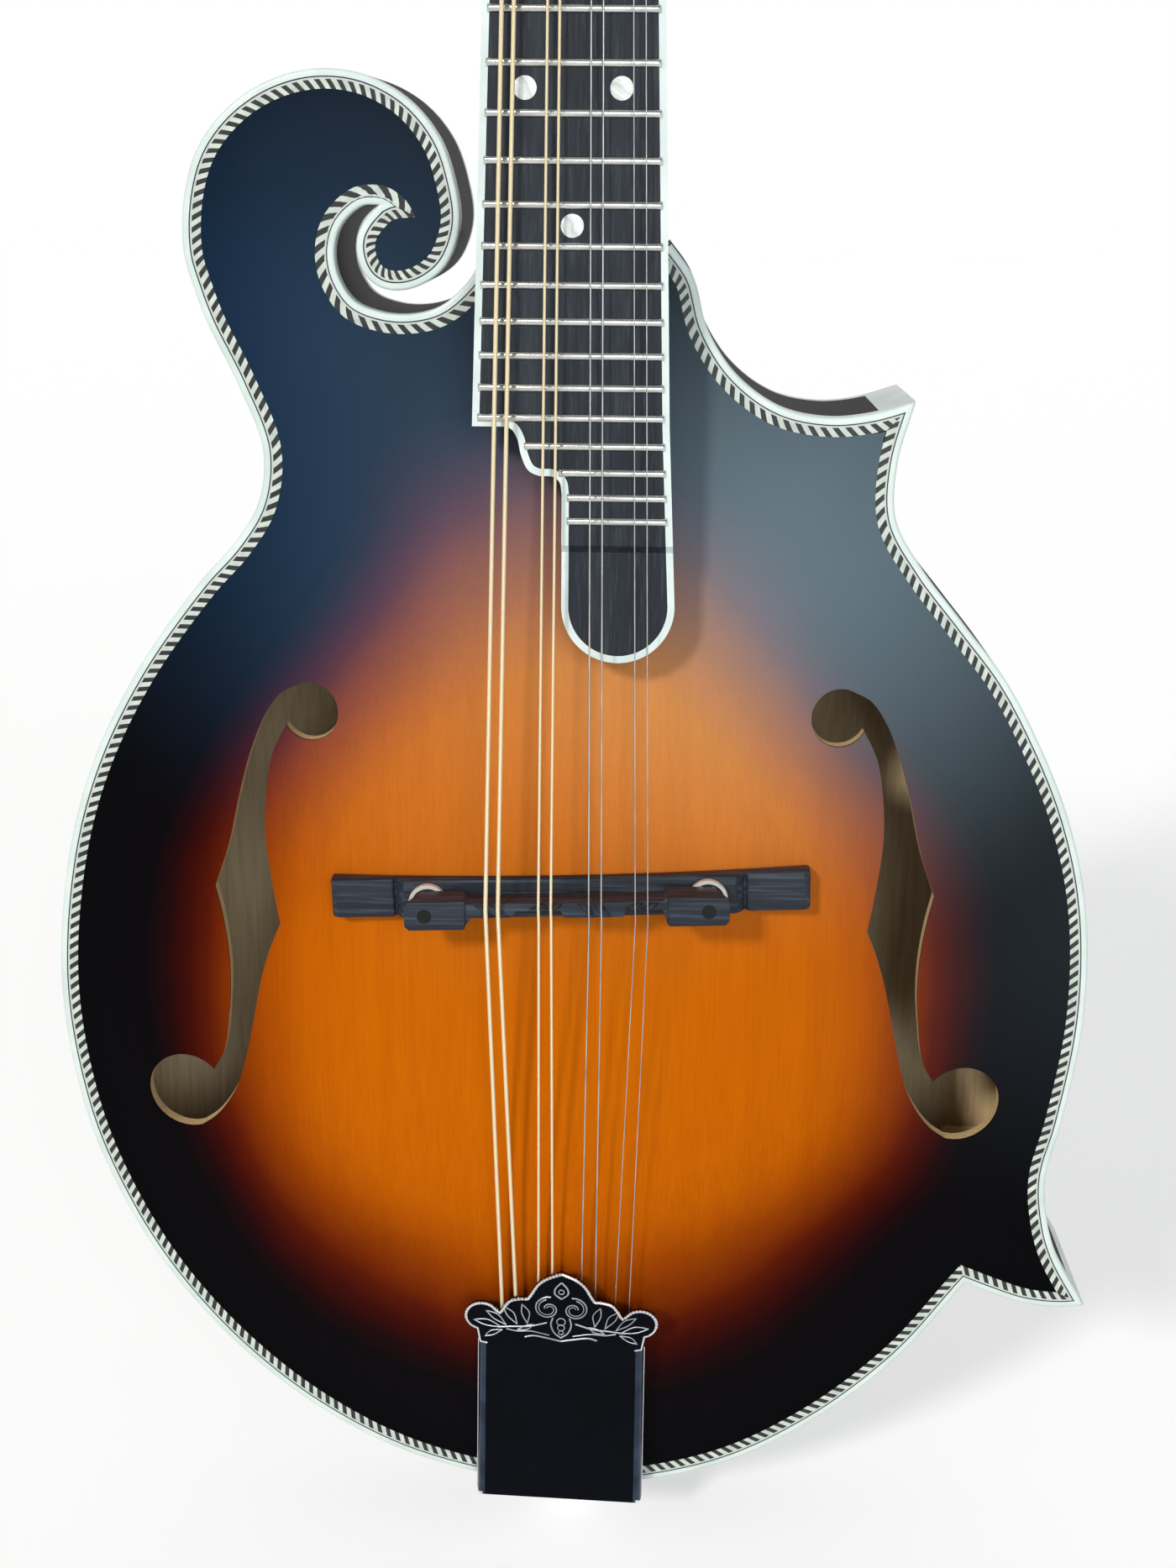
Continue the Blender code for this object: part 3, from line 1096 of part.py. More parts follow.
def string_tube(name, points, radius, material):
    """One string as a thin tube through its points."""
    curve = bpy.data.curves.new(name, "CURVE")
    curve.dimensions = "3D"
    curve.bevel_depth = radius
    curve.bevel_resolution = 1
    curve.use_fill_caps = True
    line = curve.splines.new("POLY")
    line.points.add(len(points) - 1)
    for place, point in zip(line.points, points):
        place.co = (*point, 1.0)
    curve.materials.append(material)
    item = bpy.data.objects.new(name, curve)
    bpy.context.collection.objects.link(item)
    return item


def build():
    """Model the whole instrument."""
    clear_scene()
    spruce = finish("sunburst_spruce", (0.62, 0.27, 0.05), 0.35)
    maple = finish("dark_maple", (0.10, 0.035, 0.015), 0.3)
    ivory = finish("ivory_binding", (0.85, 0.83, 0.72), 0.4)
    ebony = finish("ebony", (0.03, 0.03, 0.035), 0.45)
    bone = finish("bone", (0.85, 0.80, 0.68), 0.4)
    inner_wood = finish("pale_inner_wood", (0.66, 0.48, 0.28), 0.7)
    cover_finish = finish("black_plastic", (0.02, 0.02, 0.02), 0.25)
    steel = finish("steel", (0.70, 0.70, 0.72), 0.25, 1.0)
    bronze = finish("bronze_winding", (0.80, 0.58, 0.28), 0.3, 1.0)
    brass = finish("brass", (0.80, 0.62, 0.30), 0.3, 1.0)
    plated = finish("dark_plated_metal", (0.25, 0.25, 0.27), 0.15, 1.0)
    pearl = finish("pearl_button", (0.85, 0.84, 0.80), 0.25)
    share_of_arch = arch_function()
    make_body(spruce, maple, ivory, inner_wood, share_of_arch)
    make_board(ebony, ivory)
    make_neck(maple, share_of_arch)
    make_head_trim(ebony, bone, cover_finish)
    make_truss_rod(steel, brass)
    make_bridge(ebony, brass, share_of_arch)
    base = make_tailpiece(plated)
    make_tail_leg(base, plated)
    make_tuners(plated, brass, pearl)
    make_strings(bronze, steel)


build()
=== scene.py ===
"""Looks of the carved f-style mandolin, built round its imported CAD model."""
import math

import bmesh
import bpy
import numpy as np
from mathutils import Matrix, Vector
from mathutils.geometry import delaunay_2d_cdt


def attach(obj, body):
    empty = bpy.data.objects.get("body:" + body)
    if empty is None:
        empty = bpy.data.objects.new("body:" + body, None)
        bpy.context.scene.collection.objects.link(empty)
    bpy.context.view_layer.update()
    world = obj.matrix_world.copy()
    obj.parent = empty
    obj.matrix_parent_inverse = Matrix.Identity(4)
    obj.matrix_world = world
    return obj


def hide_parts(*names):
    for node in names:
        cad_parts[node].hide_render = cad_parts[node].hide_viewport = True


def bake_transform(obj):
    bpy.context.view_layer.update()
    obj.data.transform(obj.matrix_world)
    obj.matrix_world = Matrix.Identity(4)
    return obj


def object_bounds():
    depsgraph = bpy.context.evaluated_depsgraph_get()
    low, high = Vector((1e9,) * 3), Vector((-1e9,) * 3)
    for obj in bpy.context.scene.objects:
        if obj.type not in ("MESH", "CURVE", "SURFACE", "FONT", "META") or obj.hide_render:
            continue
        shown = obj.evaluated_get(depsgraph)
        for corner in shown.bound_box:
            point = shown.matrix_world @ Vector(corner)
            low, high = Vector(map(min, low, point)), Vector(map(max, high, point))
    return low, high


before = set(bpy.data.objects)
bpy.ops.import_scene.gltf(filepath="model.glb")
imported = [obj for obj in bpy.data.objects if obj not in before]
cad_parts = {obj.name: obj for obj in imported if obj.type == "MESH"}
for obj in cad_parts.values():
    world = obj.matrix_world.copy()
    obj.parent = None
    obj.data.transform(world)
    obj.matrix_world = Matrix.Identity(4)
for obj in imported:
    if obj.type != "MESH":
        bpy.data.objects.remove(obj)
CAD_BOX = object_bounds()

# Camera, fitted to the photograph: its place, and its right, up and back directions
CAMERA_PLACE = Vector((0.01643, -0.50124, -0.18738))
CAMERA_RIGHT = Vector((0.9996, 0.0270, 0.0079))
CAMERA_UP = Vector((-0.0150, 0.2757, 0.9611))
FOCAL_PIXELS = 2550
PHOTO_WIDTH = 1400
SENSOR = 36.0

# Strings and neck
SCALE_LENGTH = 0.3524
NECK_PITCH = math.radians(3.9)
NUT_SETBACK = 0.0034
NUT_WIDTH = 0.0316
NUT_THICKNESS = 0.0050
BOARD_WIDTH_12 = 0.0407
BOARD_THICKNESS = 0.0060
BOARD_BINDING = 0.0016
FRET_COUNT = 24
FULL_FRETS = 20
FRET_HEIGHT = 0.0010
FRET_HALF = 0.0009
STRING_AT_NUT = 0.0014
STRING_AT_SADDLE = 0.0040
COURSE_AT_NUT = (-0.0115, -0.0036, 0.0039, 0.0116)
COURSE_AT_SADDLE = (-0.0173, -0.0050, 0.0067, 0.0175)
PAIR_AT_NUT = 0.0024
PAIR_AT_SADDLE = 0.0029
STRING_GAUGES = (0.0010, 0.00066, 0.00041, 0.00028)
EXTENSION_MARGIN = 0.0020
TONGUE_EDGE = ((-0.0145, 0.0), (-0.0132, 0.0006), (-0.0119, 0.0028), (-0.0111, 0.0063), (-0.0095, 0.0096),
               (-0.0072, 0.0108), (-0.0040, 0.0110), (-0.0024, 0.0122), (-0.0019, 0.0150))
TONGUE_LENGTH = 0.0195
TONGUE_FLARE = 0.0008
SCOOP_START = 0.0055
SCOOP_DEPTH = 0.0016
DOT_RADIUS = 0.00255
SINGLE_DOTS = (3, 5, 7, 10, 15)
DOUBLE_DOT_SPREAD = 0.0105

# Body
BODY_DEPTH = 0.0420
PLATE_EDGE = 0.0042
FRONT_ARCH = 0.0155
BACK_ARCH = 0.0130
ARCH_RIM = 0.0050
ARCH_REACH = 0.1100
ARCH_POWER = 1.35
BODY_JOINT = 0.1478
BURST_TO_NECK = 0.07
BURST_TO_TAIL = 0.16
NECK_OPENING = 0.0220
TAIL_EDGE = -0.1759
BINDING_WIDTH = 0.0016
PURFLING_WIDTH = 0.0046
BAND_ROUND = 0.0007
RUN_ON = 0.0160
POINT_GUARD = 0.0085

# Body outline, as (distance from the centre line, height above the bridge line)
SLOT_EDGE = ((-0.0220, 0.1478), (-0.0226, 0.1421), (-0.0259, 0.1376), (-0.0314, 0.1334), (-0.0381, 0.1318),
             (-0.0447, 0.1323), (-0.0505, 0.1347), (-0.0540, 0.1400), (-0.0549, 0.1456), (-0.0536, 0.1508),
             (-0.0510, 0.1540), (-0.0480, 0.1559), (-0.0446, 0.1560))
CURL_EDGE = ((-0.0446, 0.1560), (-0.0476, 0.1528), (-0.0494, 0.1497), (-0.0499, 0.1462), (-0.0488, 0.1419),
             (-0.0467, 0.1391), (-0.0435, 0.1374), (-0.0391, 0.1372), (-0.0344, 0.1387), (-0.0299, 0.1422),
             (-0.0272, 0.1472), (-0.0260, 0.1530))
SCROLL_EDGE = ((-0.0260, 0.1530), (-0.0268, 0.1599), (-0.0303, 0.1705), (-0.0375, 0.1791), (-0.0476, 0.1843),
               (-0.0587, 0.1853), (-0.0693, 0.1825), (-0.0785, 0.1766), (-0.0854, 0.1681), (-0.0889, 0.1575),
               (-0.0895, 0.1452))
BASS_SIDE = ((-0.0895, 0.1452), (-0.0875, 0.1373), (-0.0848, 0.1296), (-0.0780, 0.1152), (-0.0728, 0.1003),
             (-0.0743, 0.0880), (-0.0801, 0.0785), (-0.0891, 0.0686), (-0.1050, 0.0470), (-0.1171, 0.0238),
             (-0.1246, -0.0009), (-0.1283, -0.0346), (-0.1248, -0.0657), (-0.1181, -0.0875),
             (-0.1058, -0.1120), (-0.0870, -0.1360), (-0.0640, -0.1555), (-0.0377, -0.1689), (0.0, -0.1759))
TREBLE_TAIL = ((0.0, -0.1759), (0.0377, -0.1696), (0.0640, -0.1554), (0.0865, -0.1353), (0.1030, -0.1132))
LOWER_POINT = ((0.1030, -0.1132), (0.1080, -0.1152), (0.1180, -0.1186), (0.1270, -0.1196), (0.1342, -0.1190))
TREBLE_WAIST = ((0.1342, -0.1190), (0.1259, -0.1041), (0.1229, -0.0939), (0.1219, -0.0825),
                (0.1249, -0.0676),
                (0.1283, -0.0420), (0.1281, -0.0203), (0.1254, -0.0020), (0.1201, 0.0155), (0.1127, 0.0318),
                (0.1039, 0.0472), (0.0932, 0.0607), (0.0824, 0.0742), (0.0758, 0.0856), (0.0755, 0.0986),
                (0.0791, 0.1132))
TREBLE_SHOULDER = ((0.0791, 0.1132), (0.0689, 0.1102), (0.0589, 0.1093), (0.0478, 0.1116), (0.0375, 0.1189),
                   (0.0306, 0.1292), (0.0272, 0.1406), (NECK_OPENING, BODY_JOINT))

# The slot's two edges run on past its tip in these curves, which the bands beside them follow
SLOT_RUNS_ON = ((-0.0446, 0.1560), (-0.0431, 0.1554), (-0.0418, 0.1544), (-0.0408, 0.1530),
                (-0.0402, 0.1515),
                (-0.0400, 0.1500))
CURL_RUNS_FROM = ((-0.0310, 0.1580), (-0.0364, 0.1578), (-0.0389, 0.1576), (-0.0419, 0.1572),
                  (-0.0446, 0.1560))

# F-hole on the treble side; the bass one is its mirror image, and both are shifted to the treble side
F_SHIFT = 0.0008
F_UPPER_EYE = (0.0632, 0.0391)
F_UPPER_RADIUS = 0.0069
F_LOWER_EYE = (0.0975, -0.0610)
F_LOWER_RADIUS = 0.0100
F_OUTER_TOP = ((0.0666, 0.0451), (0.0706, 0.0429), (0.0747, 0.0371), (0.0784, 0.0280), (0.0812, 0.0180),
               (0.0842, 0.0052), (0.0879, -0.0056))
F_OUTER_FOOT = ((0.0879, -0.0056), (0.0862, -0.0130), (0.0850, -0.0220), (0.0848, -0.0300),
                (0.0855, -0.0385),
                (0.0873, -0.0490), (0.0901, -0.0543))
F_INNER_FOOT = ((0.0941, -0.0704), (0.0905, -0.0676), (0.0874, -0.0638), (0.0843, -0.0583),
                (0.0821, -0.0520),
                (0.0796, -0.0417), (0.0768, -0.0287), (0.0745, -0.0210), (0.0715, -0.0136))
F_INNER_TOP = ((0.0715, -0.0136), (0.0729, -0.0060), (0.0746, 0.0065), (0.0748, 0.0124), (0.0739, 0.0226),
               (0.0724, 0.0292), (0.0691, 0.0356))

# Headstock and tuning machines
HEAD_PITCH = math.radians(14.0)
HEAD_DROP = 0.0030
HEAD_THICKNESS = 0.0130
VENEER = 0.0020
GAP = 0.0003
POST_SPACING = 0.0230
FIRST_POST = 0.0260
POST_OFFSET = 0.0195
POST_RADIUS = 0.0030
POST_STANDS = 0.0080
TUNER_PLATE = 0.0009
WHEEL_RADIUS = 0.0046
WHEEL_TEETH = 12
WHEEL_THICKNESS = 0.0040
WORM_RADIUS = 0.0019
WORM_LENGTH = 0.0084
SHAFT_RADIUS = 0.0013
BUTTON_START = 0.0162
BUTTON_LENGTH = 0.0115
BUTTON_HALF_WIDTH = 0.0068
BUTTON_HALF_DEPTH = 0.0034

# Bridge
BRIDGE_SHIFT = -0.0025
BRIDGE_SKEW = math.radians(2.0)
BASE_LENGTH = 0.1147
BASE_SHIFT = 0.0004
BASE_WIDTH = 0.0096
FOOT_LENGTH = 0.0150
FOOT_HEIGHT = 0.0060
BASE_TOP = 0.0192
SADDLE_LENGTH = 0.0760
SADDLE_PAD = 0.0035
SADDLE_RELIEF = 0.0008
SADDLE_STEPS = ((-0.0224, -0.0127, 0.0026), (-0.0119, -0.0014, 0.0041), (-0.0006, 0.0132, 0.0023),
                (0.0140, 0.0224, 0.0040))
SADDLE_HEIGHT = 0.0084
POST_SPREAD = 0.0332
BRIDGE_POST_RADIUS = 0.0018
WHEEL_DISC_RADIUS = 0.0047
WHEEL_DISC = 0.0022

# Tailpiece
COVER_WIDTH = 0.0438
COVER_WIDTH_TOP = 0.0426
COVER_LENGTH = 0.0515
COVER_SHEET = 0.0009
COVER_FOLD = 0.0021
EAR_CENTRE = (0.0202, 0.0603)
EAR_RADIUS = 0.0044
CREST_STEP = ((0.0156, 0.0620), (0.0147, 0.0636), (0.0131, 0.0658), (0.0100, 0.0667), (0.0087, 0.0667))
CREST_DOME = ((0.0087, 0.0667), (0.0079, 0.0680), (0.0061, 0.0713), (0.0039, 0.0733), (0.0, 0.0752))
HOOK_PLACE = 0.0450
HOOK_COURSES = (-0.0128, -0.0040, 0.0067, 0.0150)
HOOK_PAIR = 0.0037
HOOK_DEPTH = 0.0023

# Frames of the tilted pieces
BRIDGE_Z = -SCALE_LENGTH * math.cos(NECK_PITCH)
BOARD_FRAME = Matrix.Translation((0, -NUT_SETBACK, 0)) @ Matrix.Rotation(-NECK_PITCH, 4, "X")
HEAD_FRAME = (BOARD_FRAME @ Matrix.Translation((0, HEAD_DROP, NUT_THICKNESS))
              @ Matrix.Rotation(-HEAD_PITCH, 4, "X"))
BRIDGE_FRAME = Matrix.Translation((0, 0, BRIDGE_Z + BRIDGE_SHIFT)) @ Matrix.Rotation(-BRIDGE_SKEW, 4, "Y")
TAIL_FRAME = (Matrix.Translation((-0.0021, -0.0052, BRIDGE_Z - 0.1766))
              @ Matrix.Rotation(math.radians(1.1), 4, "Y") @ Matrix.Rotation(math.radians(-1.9), 4, "Z")
              @ Matrix.Rotation(math.radians(10.0), 4, "X"))


# Shapes

def smooth_curve(knots, pieces=12):
    """A smooth curve through the knots, with a fixed number of pieces between each two."""
    p = [Vector(k) for k in knots]
    p = [2 * p[0] - p[1]] + p + [2 * p[-1] - p[-2]]
    dense = []
    for p0, p1, p2, p3 in zip(p, p[1:], p[2:], p[3:]):
        a = (p1 - p0).length ** 0.5
        b = (p2 - p1).length ** 0.5
        c = (p3 - p2).length ** 0.5
        m1 = (p1 - p0) / a - (p2 - p0) / (a + b) + (p2 - p1) / b
        m2 = (p2 - p1) / b - (p3 - p1) / (b + c) + (p3 - p2) / c
        for i in range(pieces):
            t = i / pieces
            near = (1 + 2 * t) * (1 - t) ** 2 * p1 + t * (1 - t) ** 2 * b * m1
            far = t ** 2 * (3 - 2 * t) * p2 + t ** 2 * (t - 1) * b * m2
            dense.append(tuple(near + far))
    dense.append(tuple(p[-2]))
    return dense


def resample(points, step):
    """Points evenly spaced, about step apart, along a polyline."""
    points = np.array(points)
    travel = np.concatenate(([0.0], np.cumsum(np.linalg.norm(np.diff(points, axis=0), axis=1))))
    stops = np.linspace(0.0, travel[-1], max(1, round(travel[-1] / step)) + 1)
    return [tuple(p) for p in np.stack([np.interp(stops, travel, c) for c in points.T], axis=1)]


def spline(knots, step):
    """Points about step apart on a smooth curve through the knots."""
    return resample(smooth_curve(knots), step)


def arc(centre, radius, start, end, step):
    """Points about step apart on an arc, in degrees."""
    count = max(2, round(math.radians(abs(end - start)) * radius / step))
    angles = [math.radians(start + (end - start) * i / count) for i in range(count + 1)]
    return [(centre[0] + radius * math.cos(a), centre[1] + radius * math.sin(a)) for a in angles]


def offset(points, distance, closed=False, limit=3.0):
    """The points moved to the left of their travel, with mitred corners."""
    p = [Vector(point) for point in points]
    count = len(p)
    moved = []
    for i in range(count):
        before = p[i] - p[i - 1] if (closed or i > 0) else p[1] - p[0]
        after = p[(i + 1) % count] - p[i] if (closed or i < count - 1) else before
        n0 = Vector((-before.y, before.x)).normalized()
        n1 = Vector((-after.y, after.x)).normalized()
        mitre = n0 + n1
        scale = min(2.0 / max(mitre.length_squared, 1e-9), limit / max(mitre.length, 1e-9))
        moved.append(tuple(p[i] + mitre * scale * distance))
    return moved


def joined(stretches):
    """One list of points from stretches that share their end points."""
    points = list(stretches[0])
    for stretch in stretches[1:]:
        skip = 1 if math.dist(points[-1], stretch[0]) < 0.0002 else 0
        points += stretch[skip:]
    return points


def mirrored(points):
    """The same points on the other side of the centre line, in the same travel direction."""
    return [(-x, z) for x, z in reversed(points)]


def body_stretches(step):
    """The body's outline, anticlockwise from the neck's bass side, in stretches between sharp corners."""
    long_side = CURL_EDGE + SCROLL_EDGE[1:] + BASS_SIDE[1:] + TREBLE_TAIL[1:]
    runs = (SLOT_EDGE, long_side, LOWER_POINT, TREBLE_WAIST, TREBLE_SHOULDER)
    return [[(x, BRIDGE_Z + h) for x, h in spline(run, step)] for run in runs]


def base_runs(step):
    """Each stretch with the points that run on before and after it."""
    stretches = body_stretches(step)
    runs = []
    for number, run in enumerate(stretches):
        ahead = Vector(run[0]) - Vector(run[1])
        behind = Vector(run[-1]) - Vector(run[-2])
        before = [] if number == 0 else [tuple(Vector(run[0]) + ahead.normalized() * RUN_ON)]
        last = number == len(stretches) - 1
        after = [] if last else [tuple(Vector(run[-1]) + behind.normalized() * RUN_ON)]
        runs.append((before, run, after))
    slot_on = [(x, BRIDGE_Z + h) for x, h in spline(SLOT_RUNS_ON, step)]
    curl_from = [(x, BRIDGE_Z + h) for x, h in spline(CURL_RUNS_FROM, step)]
    runs[0] = ([], stretches[0], slot_on[1:])
    runs[1] = (curl_from[:-1], stretches[1], runs[1][2])
    return runs


def crossing(first, second):
    """Where the end of one run of points first meets the start of the next."""
    for i in range(len(first) - 2, max(-1, len(first) - 60), -1):
        a, b = Vector(first[i]), Vector(first[i + 1])
        for j in range(min(len(second) - 1, 60)):
            c, d = Vector(second[j]), Vector(second[j + 1])
            base = (b - a).cross(d - c)
            if abs(base) < 1e-15:
                continue
            t = (c - a).cross(d - c) / base
            u = (c - a).cross(b - a) / base
            if -1e-9 <= t <= 1 + 1e-9 and -1e-9 <= u <= 1 + 1e-9:
                return i, j, t, u, tuple(a + (b - a) * t)
    return None


def offset_run(number, distance):
    """One stretch moved into the body and run on past its corners, with the travel of each point."""
    before, run, after = BASE_RUNS[number]
    whole = before + run + after
    steps = np.linalg.norm(np.diff(np.array(whole), axis=0), axis=1)
    travel = np.concatenate(([0.0], np.cumsum(steps)))
    return offset(whole, distance), travel - travel[len(before)]


def trimmed_runs(distance):
    """Every stretch moved into the body and cut where it meets the next one, with travels."""
    runs = [offset_run(number, distance) for number in range(len(BASE_RUNS))]
    for i in range(len(runs) - 1):
        (first, first_travel), (second, second_travel) = runs[i], runs[i + 1]
        a, b, share_a, share_b, point = crossing(first, second)
        end = first_travel[a] + (first_travel[a + 1] - first_travel[a]) * share_a
        start = second_travel[b] + (second_travel[b + 1] - second_travel[b]) * share_b
        runs[i] = (first[:a + 1] + [point], np.append(first_travel[:a + 1], end))
        runs[i + 1] = ([point] + second[b + 1:], np.insert(second_travel[b + 1:], 0, start))
    return runs


def board_half_width(down):
    """Half the fretboard's width at a distance down from the nut."""
    return (NUT_WIDTH + (BOARD_WIDTH_12 - NUT_WIDTH) / fret_place(12) * down) / 2


def fret_place(number):
    """The distance from the nut to a fret, by the twelfth root of two."""
    return SCALE_LENGTH * (1 - 2 ** (-number / 12))


def board_y(z):
    """The y of the board's playing plane at a height z."""
    return -NUT_SETBACK + z * math.tan(NECK_PITCH)


def wall_distance(x, z, wall, weights):
    """A smooth distance from each point to the outline."""
    result = np.empty(len(x))
    for first in range(0, len(x), 4000):
        part = slice(first, first + 4000)
        squared = (x[part, None] - wall[:, 0]) ** 2 + (z[part, None] - wall[:, 1]) ** 2 + 1e-12
        result[part] = (np.sum(weights / squared ** 2, axis=1) * 2 / math.pi) ** (-1 / 3)
    return result


def nearest(x, z, line):
    """The distance from each point to the nearest point of a line."""
    line = np.array(line)
    result = np.empty(len(x))
    for first in range(0, len(x), 4000):
        part = slice(first, first + 4000)
        squared = (x[part, None] - line[:, 0]) ** 2 + (z[part, None] - line[:, 1]) ** 2
        result[part] = np.sqrt(squared.min(axis=1))
    return result


BASE_RUNS = base_runs(0.0012)
WALL_POINTS = joined(body_stretches(0.0020))
WALL_POINTS.append(WALL_POINTS[0])
WALL = (np.array(WALL_POINTS[1:]) + np.array(WALL_POINTS[:-1])) / 2
WALL_WEIGHTS = np.hypot(*np.diff(np.array(WALL_POINTS), axis=0).T)


def depth_inside(x, z):
    """The smooth distance of body points from the outline."""
    return wall_distance(np.atleast_1d(np.asarray(x, float)), np.atleast_1d(np.asarray(z, float)), WALL,
                         WALL_WEIGHTS)


def arch_rise(distance):
    """The arch's height at a smooth distance from the outline, before it is scaled."""
    return np.sin(np.clip((distance - ARCH_RIM) / ARCH_REACH, 0.0, 1.0) * math.pi / 2) ** ARCH_POWER


ARCH_CROWN = arch_rise(depth_inside(0.0, BRIDGE_Z))[0]


def share_of_arch(x, z):
    """The share of the full arch height at body points."""
    return arch_rise(depth_inside(x, z)) / ARCH_CROWN


def top_y(x, z):
    """The y of the front plate's outer face at one body point."""
    return -FRONT_ARCH * float(share_of_arch(x, z)[0])


def eased(value):
    """A soft step from 0 to 1."""
    held = np.clip(value, 0.0, 1.0)
    return held * held * (3 - 2 * held)


def burst_ends(x, z):
    """The share by which the burst is drawn in at body points near the neck and the tail."""
    h = z - BRIDGE_Z
    neck = eased((h - 0.010) / 0.050)
    tail = eased((-0.055 - h) / 0.050) * (1 - eased((-x - 0.030) / 0.050))
    return BURST_TO_NECK * neck + BURST_TO_TAIL * tail


# Mesh helpers

def inside(points, polygon):
    """Which of the points lie inside a closed polygon."""
    result = np.zeros(len(points), bool)
    for (x0, z0), (x1, z1) in zip(polygon, polygon[1:] + polygon[:1]):
        if z0 != z1:
            crosses = (points[:, 1] > min(z0, z1)) & (points[:, 1] <= max(z0, z1))
            result ^= crosses & (points[:, 0] < x0 + (points[:, 1] - z0) / (z1 - z0) * (x1 - x0))
    return result


def slab(outline, front, back, place=None, bevel=0.0, segments=2):
    """A flat outline of (x, z) points, extruded from y = front to y = back, with rounded edges."""
    bm = bmesh.new()
    face = bm.faces.new([bm.verts.new((x, front, z)) for x, z in outline])
    extruded = bmesh.ops.extrude_face_region(bm, geom=[face])
    moved = [v for v in extruded["geom"] if isinstance(v, bmesh.types.BMVert)]
    bmesh.ops.translate(bm, verts=moved, vec=(0, back - front, 0))
    bmesh.ops.recalc_face_normals(bm, faces=bm.faces)
    round_edges(bm, bevel, segments)
    return placed(bm, place)


def placed(bm, place):
    """A bmesh moved into the scene by a frame."""
    if place is not None:
        bmesh.ops.transform(bm, matrix=place, verts=bm.verts)
    return bm


def round_edges(bm, bevel, segments=2, least=35):
    """Round every edge sharper than an angle in degrees."""
    if bevel > 0:
        sharp = [e for e in bm.edges if e.is_manifold and e.calc_face_angle() > math.radians(least)]
        bmesh.ops.bevel(bm, geom=sharp, offset=bevel, segments=segments, profile=0.5, affect="EDGES",
                        material=-1, clamp_overlap=True)
    return bm


def block(low, high, place=None, bevel=0.0, segments=2):
    """A rectangular block between two corners, with rounded edges."""
    bm = bmesh.new()
    bmesh.ops.create_cube(bm, size=1.0)
    size = Vector(high) - Vector(low)
    bmesh.ops.scale(bm, vec=size, verts=bm.verts)
    bmesh.ops.translate(bm, vec=(Vector(high) + Vector(low)) / 2, verts=bm.verts)
    round_edges(bm, bevel, segments)
    return placed(bm, place)


def turned(stations, steps, place=None):
    """A turned shape round the y direction, with (y, radius) stations that start and end on the axis."""
    bm = bmesh.new()
    verts = [bm.verts.new((radius, y, 0.0)) for y, radius in stations]
    edges = [bm.edges.new(pair) for pair in zip(verts, verts[1:])]
    bmesh.ops.spin(bm, geom=verts + edges, cent=(0, 0, 0), axis=(0, 1, 0), angle=2 * math.pi, steps=steps,
                   use_merge=True)
    bmesh.ops.remove_doubles(bm, verts=bm.verts, dist=1e-6)
    bmesh.ops.recalc_face_normals(bm, faces=bm.faces)
    return placed(bm, place)


def skin(rows, capped=True, wrapped=True):
    """A skin over rows of points that have the same number of points."""
    bm = bmesh.new()
    rings = [[bm.verts.new(point) for point in row] for row in rows]
    count = len(rings[0])
    for ring, following in zip(rings, rings[1:]):
        for i in range(count if wrapped else count - 1):
            j = (i + 1) % count
            bm.faces.new((ring[i], ring[j], following[j], following[i]))
    if capped:
        bm.faces.new(reversed(rings[0]))
        bm.faces.new(rings[-1])
    bmesh.ops.recalc_face_normals(bm, faces=bm.faces)
    return bm


def tube(points, radius, sides=8, place=None):
    """A round tube through points, with one radius or one for each point."""
    p = [Vector(q) for q in points]
    radii = radius if isinstance(radius, (list, tuple)) else [radius] * len(p)
    ahead = (p[1] - p[0]).normalized()
    across = ahead.orthogonal().normalized()
    rows = []
    for i, (point, size) in enumerate(zip(p, radii)):
        before = (p[i] - p[i - 1]).normalized() if i > 0 else ahead
        after = (p[i + 1] - p[i]).normalized() if i < len(p) - 1 else before
        along = (before + after).normalized()
        across = (across - along * across.dot(along)).normalized()
        third = along.cross(across)
        angles = [2 * math.pi * k / sides for k in range(sides)]
        rows.append([point + (across * math.cos(a) + third * math.sin(a)) * size for a in angles])
    return placed(skin(rows), place)


def piece(name, parts, body="body", replaced=(), smooth=35):
    """One object from several bmeshes, each with its material, that rides on a body."""
    whole = bmesh.new()
    mesh = bpy.data.meshes.new(name)
    materials = []
    for bm, material in parts:
        if material not in materials:
            materials.append(material)
            mesh.materials.append(material)
        for face in bm.faces:
            face.material_index = materials.index(material)
            face.smooth = True
        part = bpy.data.meshes.new(name + "_part")
        bm.to_mesh(part)
        bm.free()
        whole.from_mesh(part)
        bpy.data.meshes.remove(part)
    whole.to_mesh(mesh)
    whole.free()
    mesh.set_sharp_from_angle(angle=math.radians(smooth))
    item = bpy.data.objects.new(name, mesh)
    bpy.context.scene.collection.objects.link(item)
    if body:
        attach(item, body)
    if replaced:
        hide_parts(*replaced)
    return item


# Material helpers

def colour(r, g, b):
    """A colour given as screen values from 0 to 255, as the shader's linear values."""
    values = []
    for value in (r, g, b):
        v = value / 255
        values.append(v / 12.92 if v <= 0.04045 else ((v + 0.055) / 1.055) ** 2.4)
    return (*values, 1.0)


def add_node(tree, kind, inputs=None, **settings):
    """A node with its settings, and its inputs set or linked."""
    node = tree.nodes.new(kind)
    for key, value in settings.items():
        setattr(node, key, value)
    for key, value in (inputs or {}).items():
        if isinstance(value, bpy.types.NodeSocket):
            tree.links.new(value, node.inputs[key])
        else:
            node.inputs[key].default_value = value
    return node


def calc(tree, operation, a, b=0.5, c=0.5):
    """The result of a math node."""
    return add_node(tree, "ShaderNodeMath", {0: a, 1: b, 2: c}, operation=operation).outputs[0]


